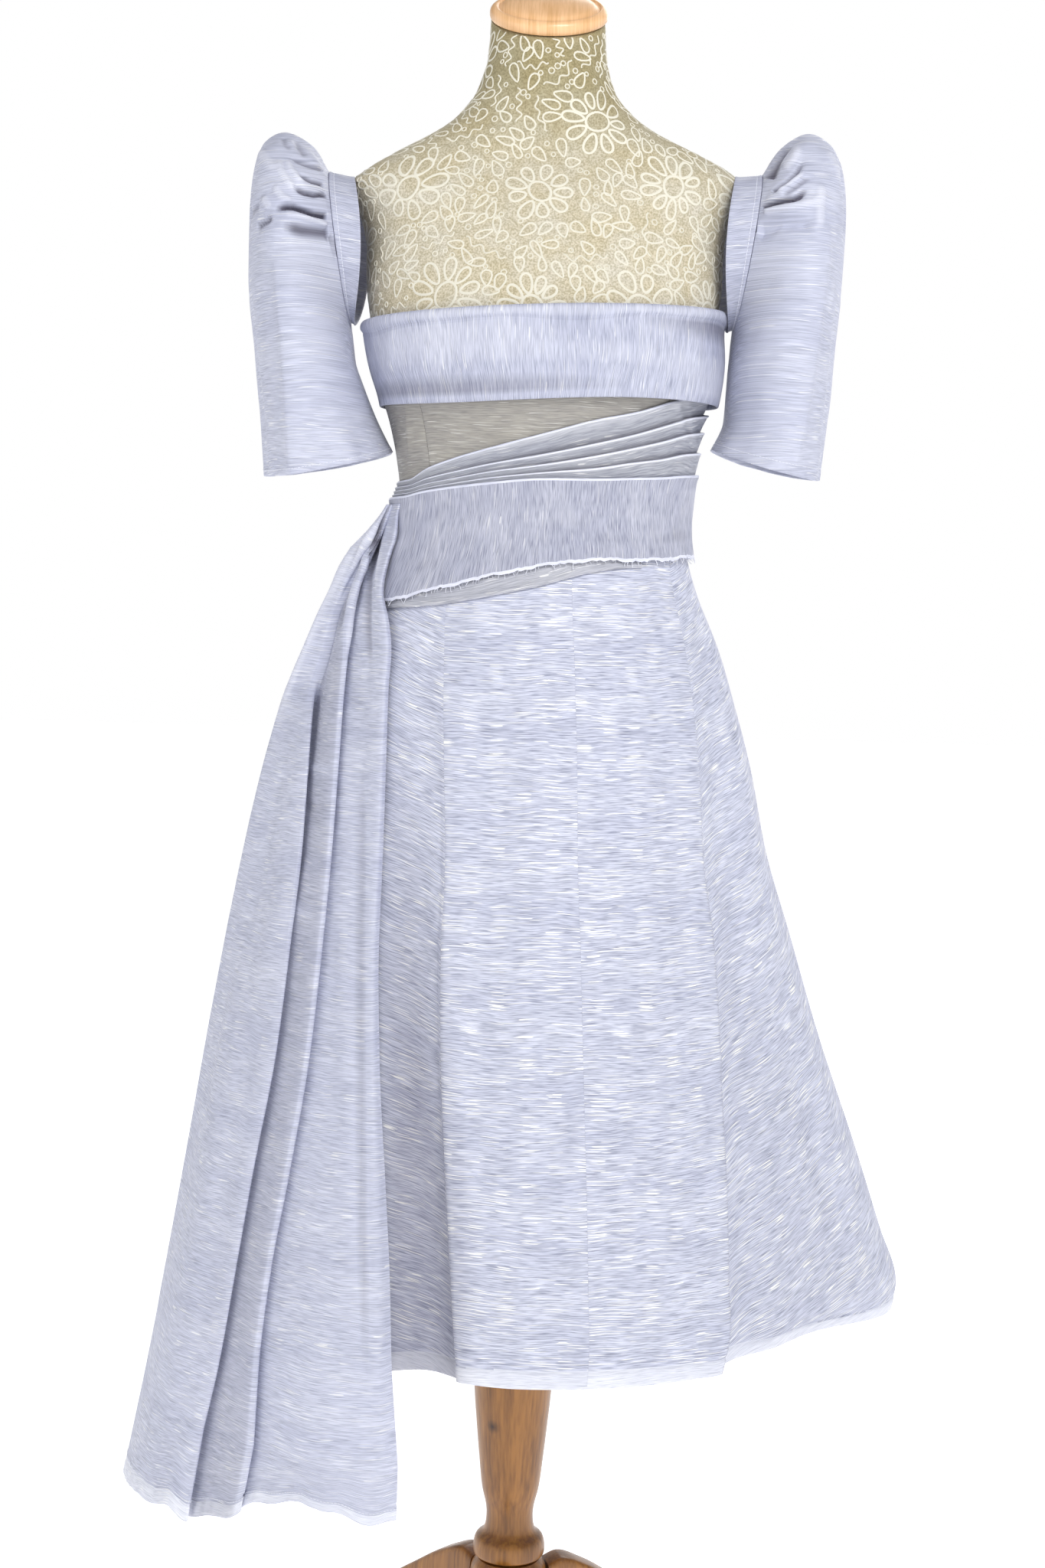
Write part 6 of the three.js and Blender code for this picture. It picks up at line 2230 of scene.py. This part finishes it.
@dataclass
class Studio:
    """Plain pale floor, soft white light and the camera at the photograph's place."""

    eye: tuple[float, float, float] = (-0.006, -2.2, 1.1086)
    pitch: float = 4.94
    roll: float = -1.5
    lens: float = 53.72
    sensor: float = 36.0
    floor_size: float = 30.0
    floor_glow: float = 0.72
    room_glow: float = 0.2
    backdrop_glow: float = 1.0
    # Name, place, point lit, watts and size of each soft light
    lights: tuple[tuple[str, tuple, tuple, float, float], ...] = (
        ("key_light", (1.0, -2.5, 3.5), (0, 0, 1.0), 73.0, 1.2),
        ("side_light", (-3.0, -1.6, 1.8), (0, 0, 0.8), 9.0, 1.6),
        ("back_light", (0.9, 2.9, 3.0), (0, 0, 1.0), 34.0, 1.8),
    )

    def build(self) -> None:
        """Builds the floor, the lights, the world and the camera."""
        half = self.floor_size / 2
        mesh = bpy.data.meshes.new("floor")
        mesh.from_pydata([(-half, -half, 0), (half, -half, 0), (half, half, 0), (-half, half, 0)],
                         [], [(0, 1, 2, 3)])
        floor = bpy.data.objects.new("floor", mesh)
        bpy.context.scene.collection.objects.link(floor)
        material, tree, shader = new_material("pale_paper_floor")
        finish_shader(tree, shader, {
            "Base Color": linear("#f8f8f8"), "Roughness": 0.9, "Emission Color": (1, 1, 1, 1),
            "Emission Strength": self.floor_glow,
        })
        mesh.materials.append(material)
        for name, place, aim, power, size in self.lights:
            data = bpy.data.lights.new(name, "AREA")
            data.energy, data.size = power, size
            lamp = bpy.data.objects.new(name, data)
            lamp.location = place
            way = Vector(aim) - Vector(place)
            lamp.rotation_mode = "QUATERNION"
            lamp.rotation_quaternion = way.to_track_quat("-Z", "Y")
            lamp.visible_camera = False
            bpy.context.scene.collection.objects.link(lamp)
        world = bpy.data.worlds.new("white_studio")
        world.use_nodes = True
        tree = world.node_tree
        way = add(tree, "ShaderNodeTexCoord").outputs["Generated"]
        height = add(tree, "ShaderNodeSeparateXYZ", {0: way}).outputs["Z"]
        # White near the horizon, dimmer overhead
        glow = span(tree, height, 0.27, 0.5, self.backdrop_glow, self.room_glow)
        ground = tree.nodes["Background"]
        finish_shader(tree, ground, {"Color": (1, 1, 1, 1), "Strength": glow})
        bpy.context.scene.world = world
        bpy.context.scene.view_settings.view_transform = "Standard"
        self.camera()

    def camera(self) -> None:
        """Stands the camera where the photograph was taken from."""
        tilt, roll = math.radians(self.pitch), math.radians(self.roll)
        ahead = Vector((0, math.cos(tilt), -math.sin(tilt)))
        level = Vector((1, 0, 0))
        up = level.cross(ahead)
        c, s = math.cos(roll), math.sin(roll)
        right, top = c * level - s * up, s * level + c * up
        data = bpy.data.cameras.new("photo_camera")
        data.lens, data.sensor_width = self.lens, self.sensor
        data.clip_end = 60
        camera = bpy.data.objects.new("photo_camera", data)
        turn = Matrix((right, top, -ahead)).transposed().to_4x4()
        camera.matrix_world = Matrix.Translation(self.eye) @ turn
        bpy.context.scene.collection.objects.link(camera)
        bpy.context.scene.camera = camera


def main() -> None:
    """Builds the form, the stand, the dress and the studio, and reports each piece."""
    logging.basicConfig(level=logging.INFO, format="%(message)s")
    finishes = Finishes()
    stitches = StitchRow()
    raw_edge = RawEdge()
    DressForm().build(finishes)
    Stand().build(finishes)
    Bodice().build(finishes)
    TopBand().build(finishes)
    Wrap().build(finishes, raw_edge)
    Skirt().build(finishes)
    Sash().build(finishes, stitches)
    Sleeve(
        "left", -1.0, SLEEVE_LEFT, BINDING_LEFT,
        LEFT_PLEATS + LEFT_CREASES + mirrored(BACK_PLEATS), 25,
    ).build(finishes, stitches)
    Sleeve(
        "right", 1.0, SLEEVE_RIGHT, BINDING_RIGHT, RIGHT_PLEATS + RIGHT_CREASES + BACK_PLEATS, 140
    ).build(finishes, stitches)
    Studio().build()


if __name__ == "__main__":
    main()
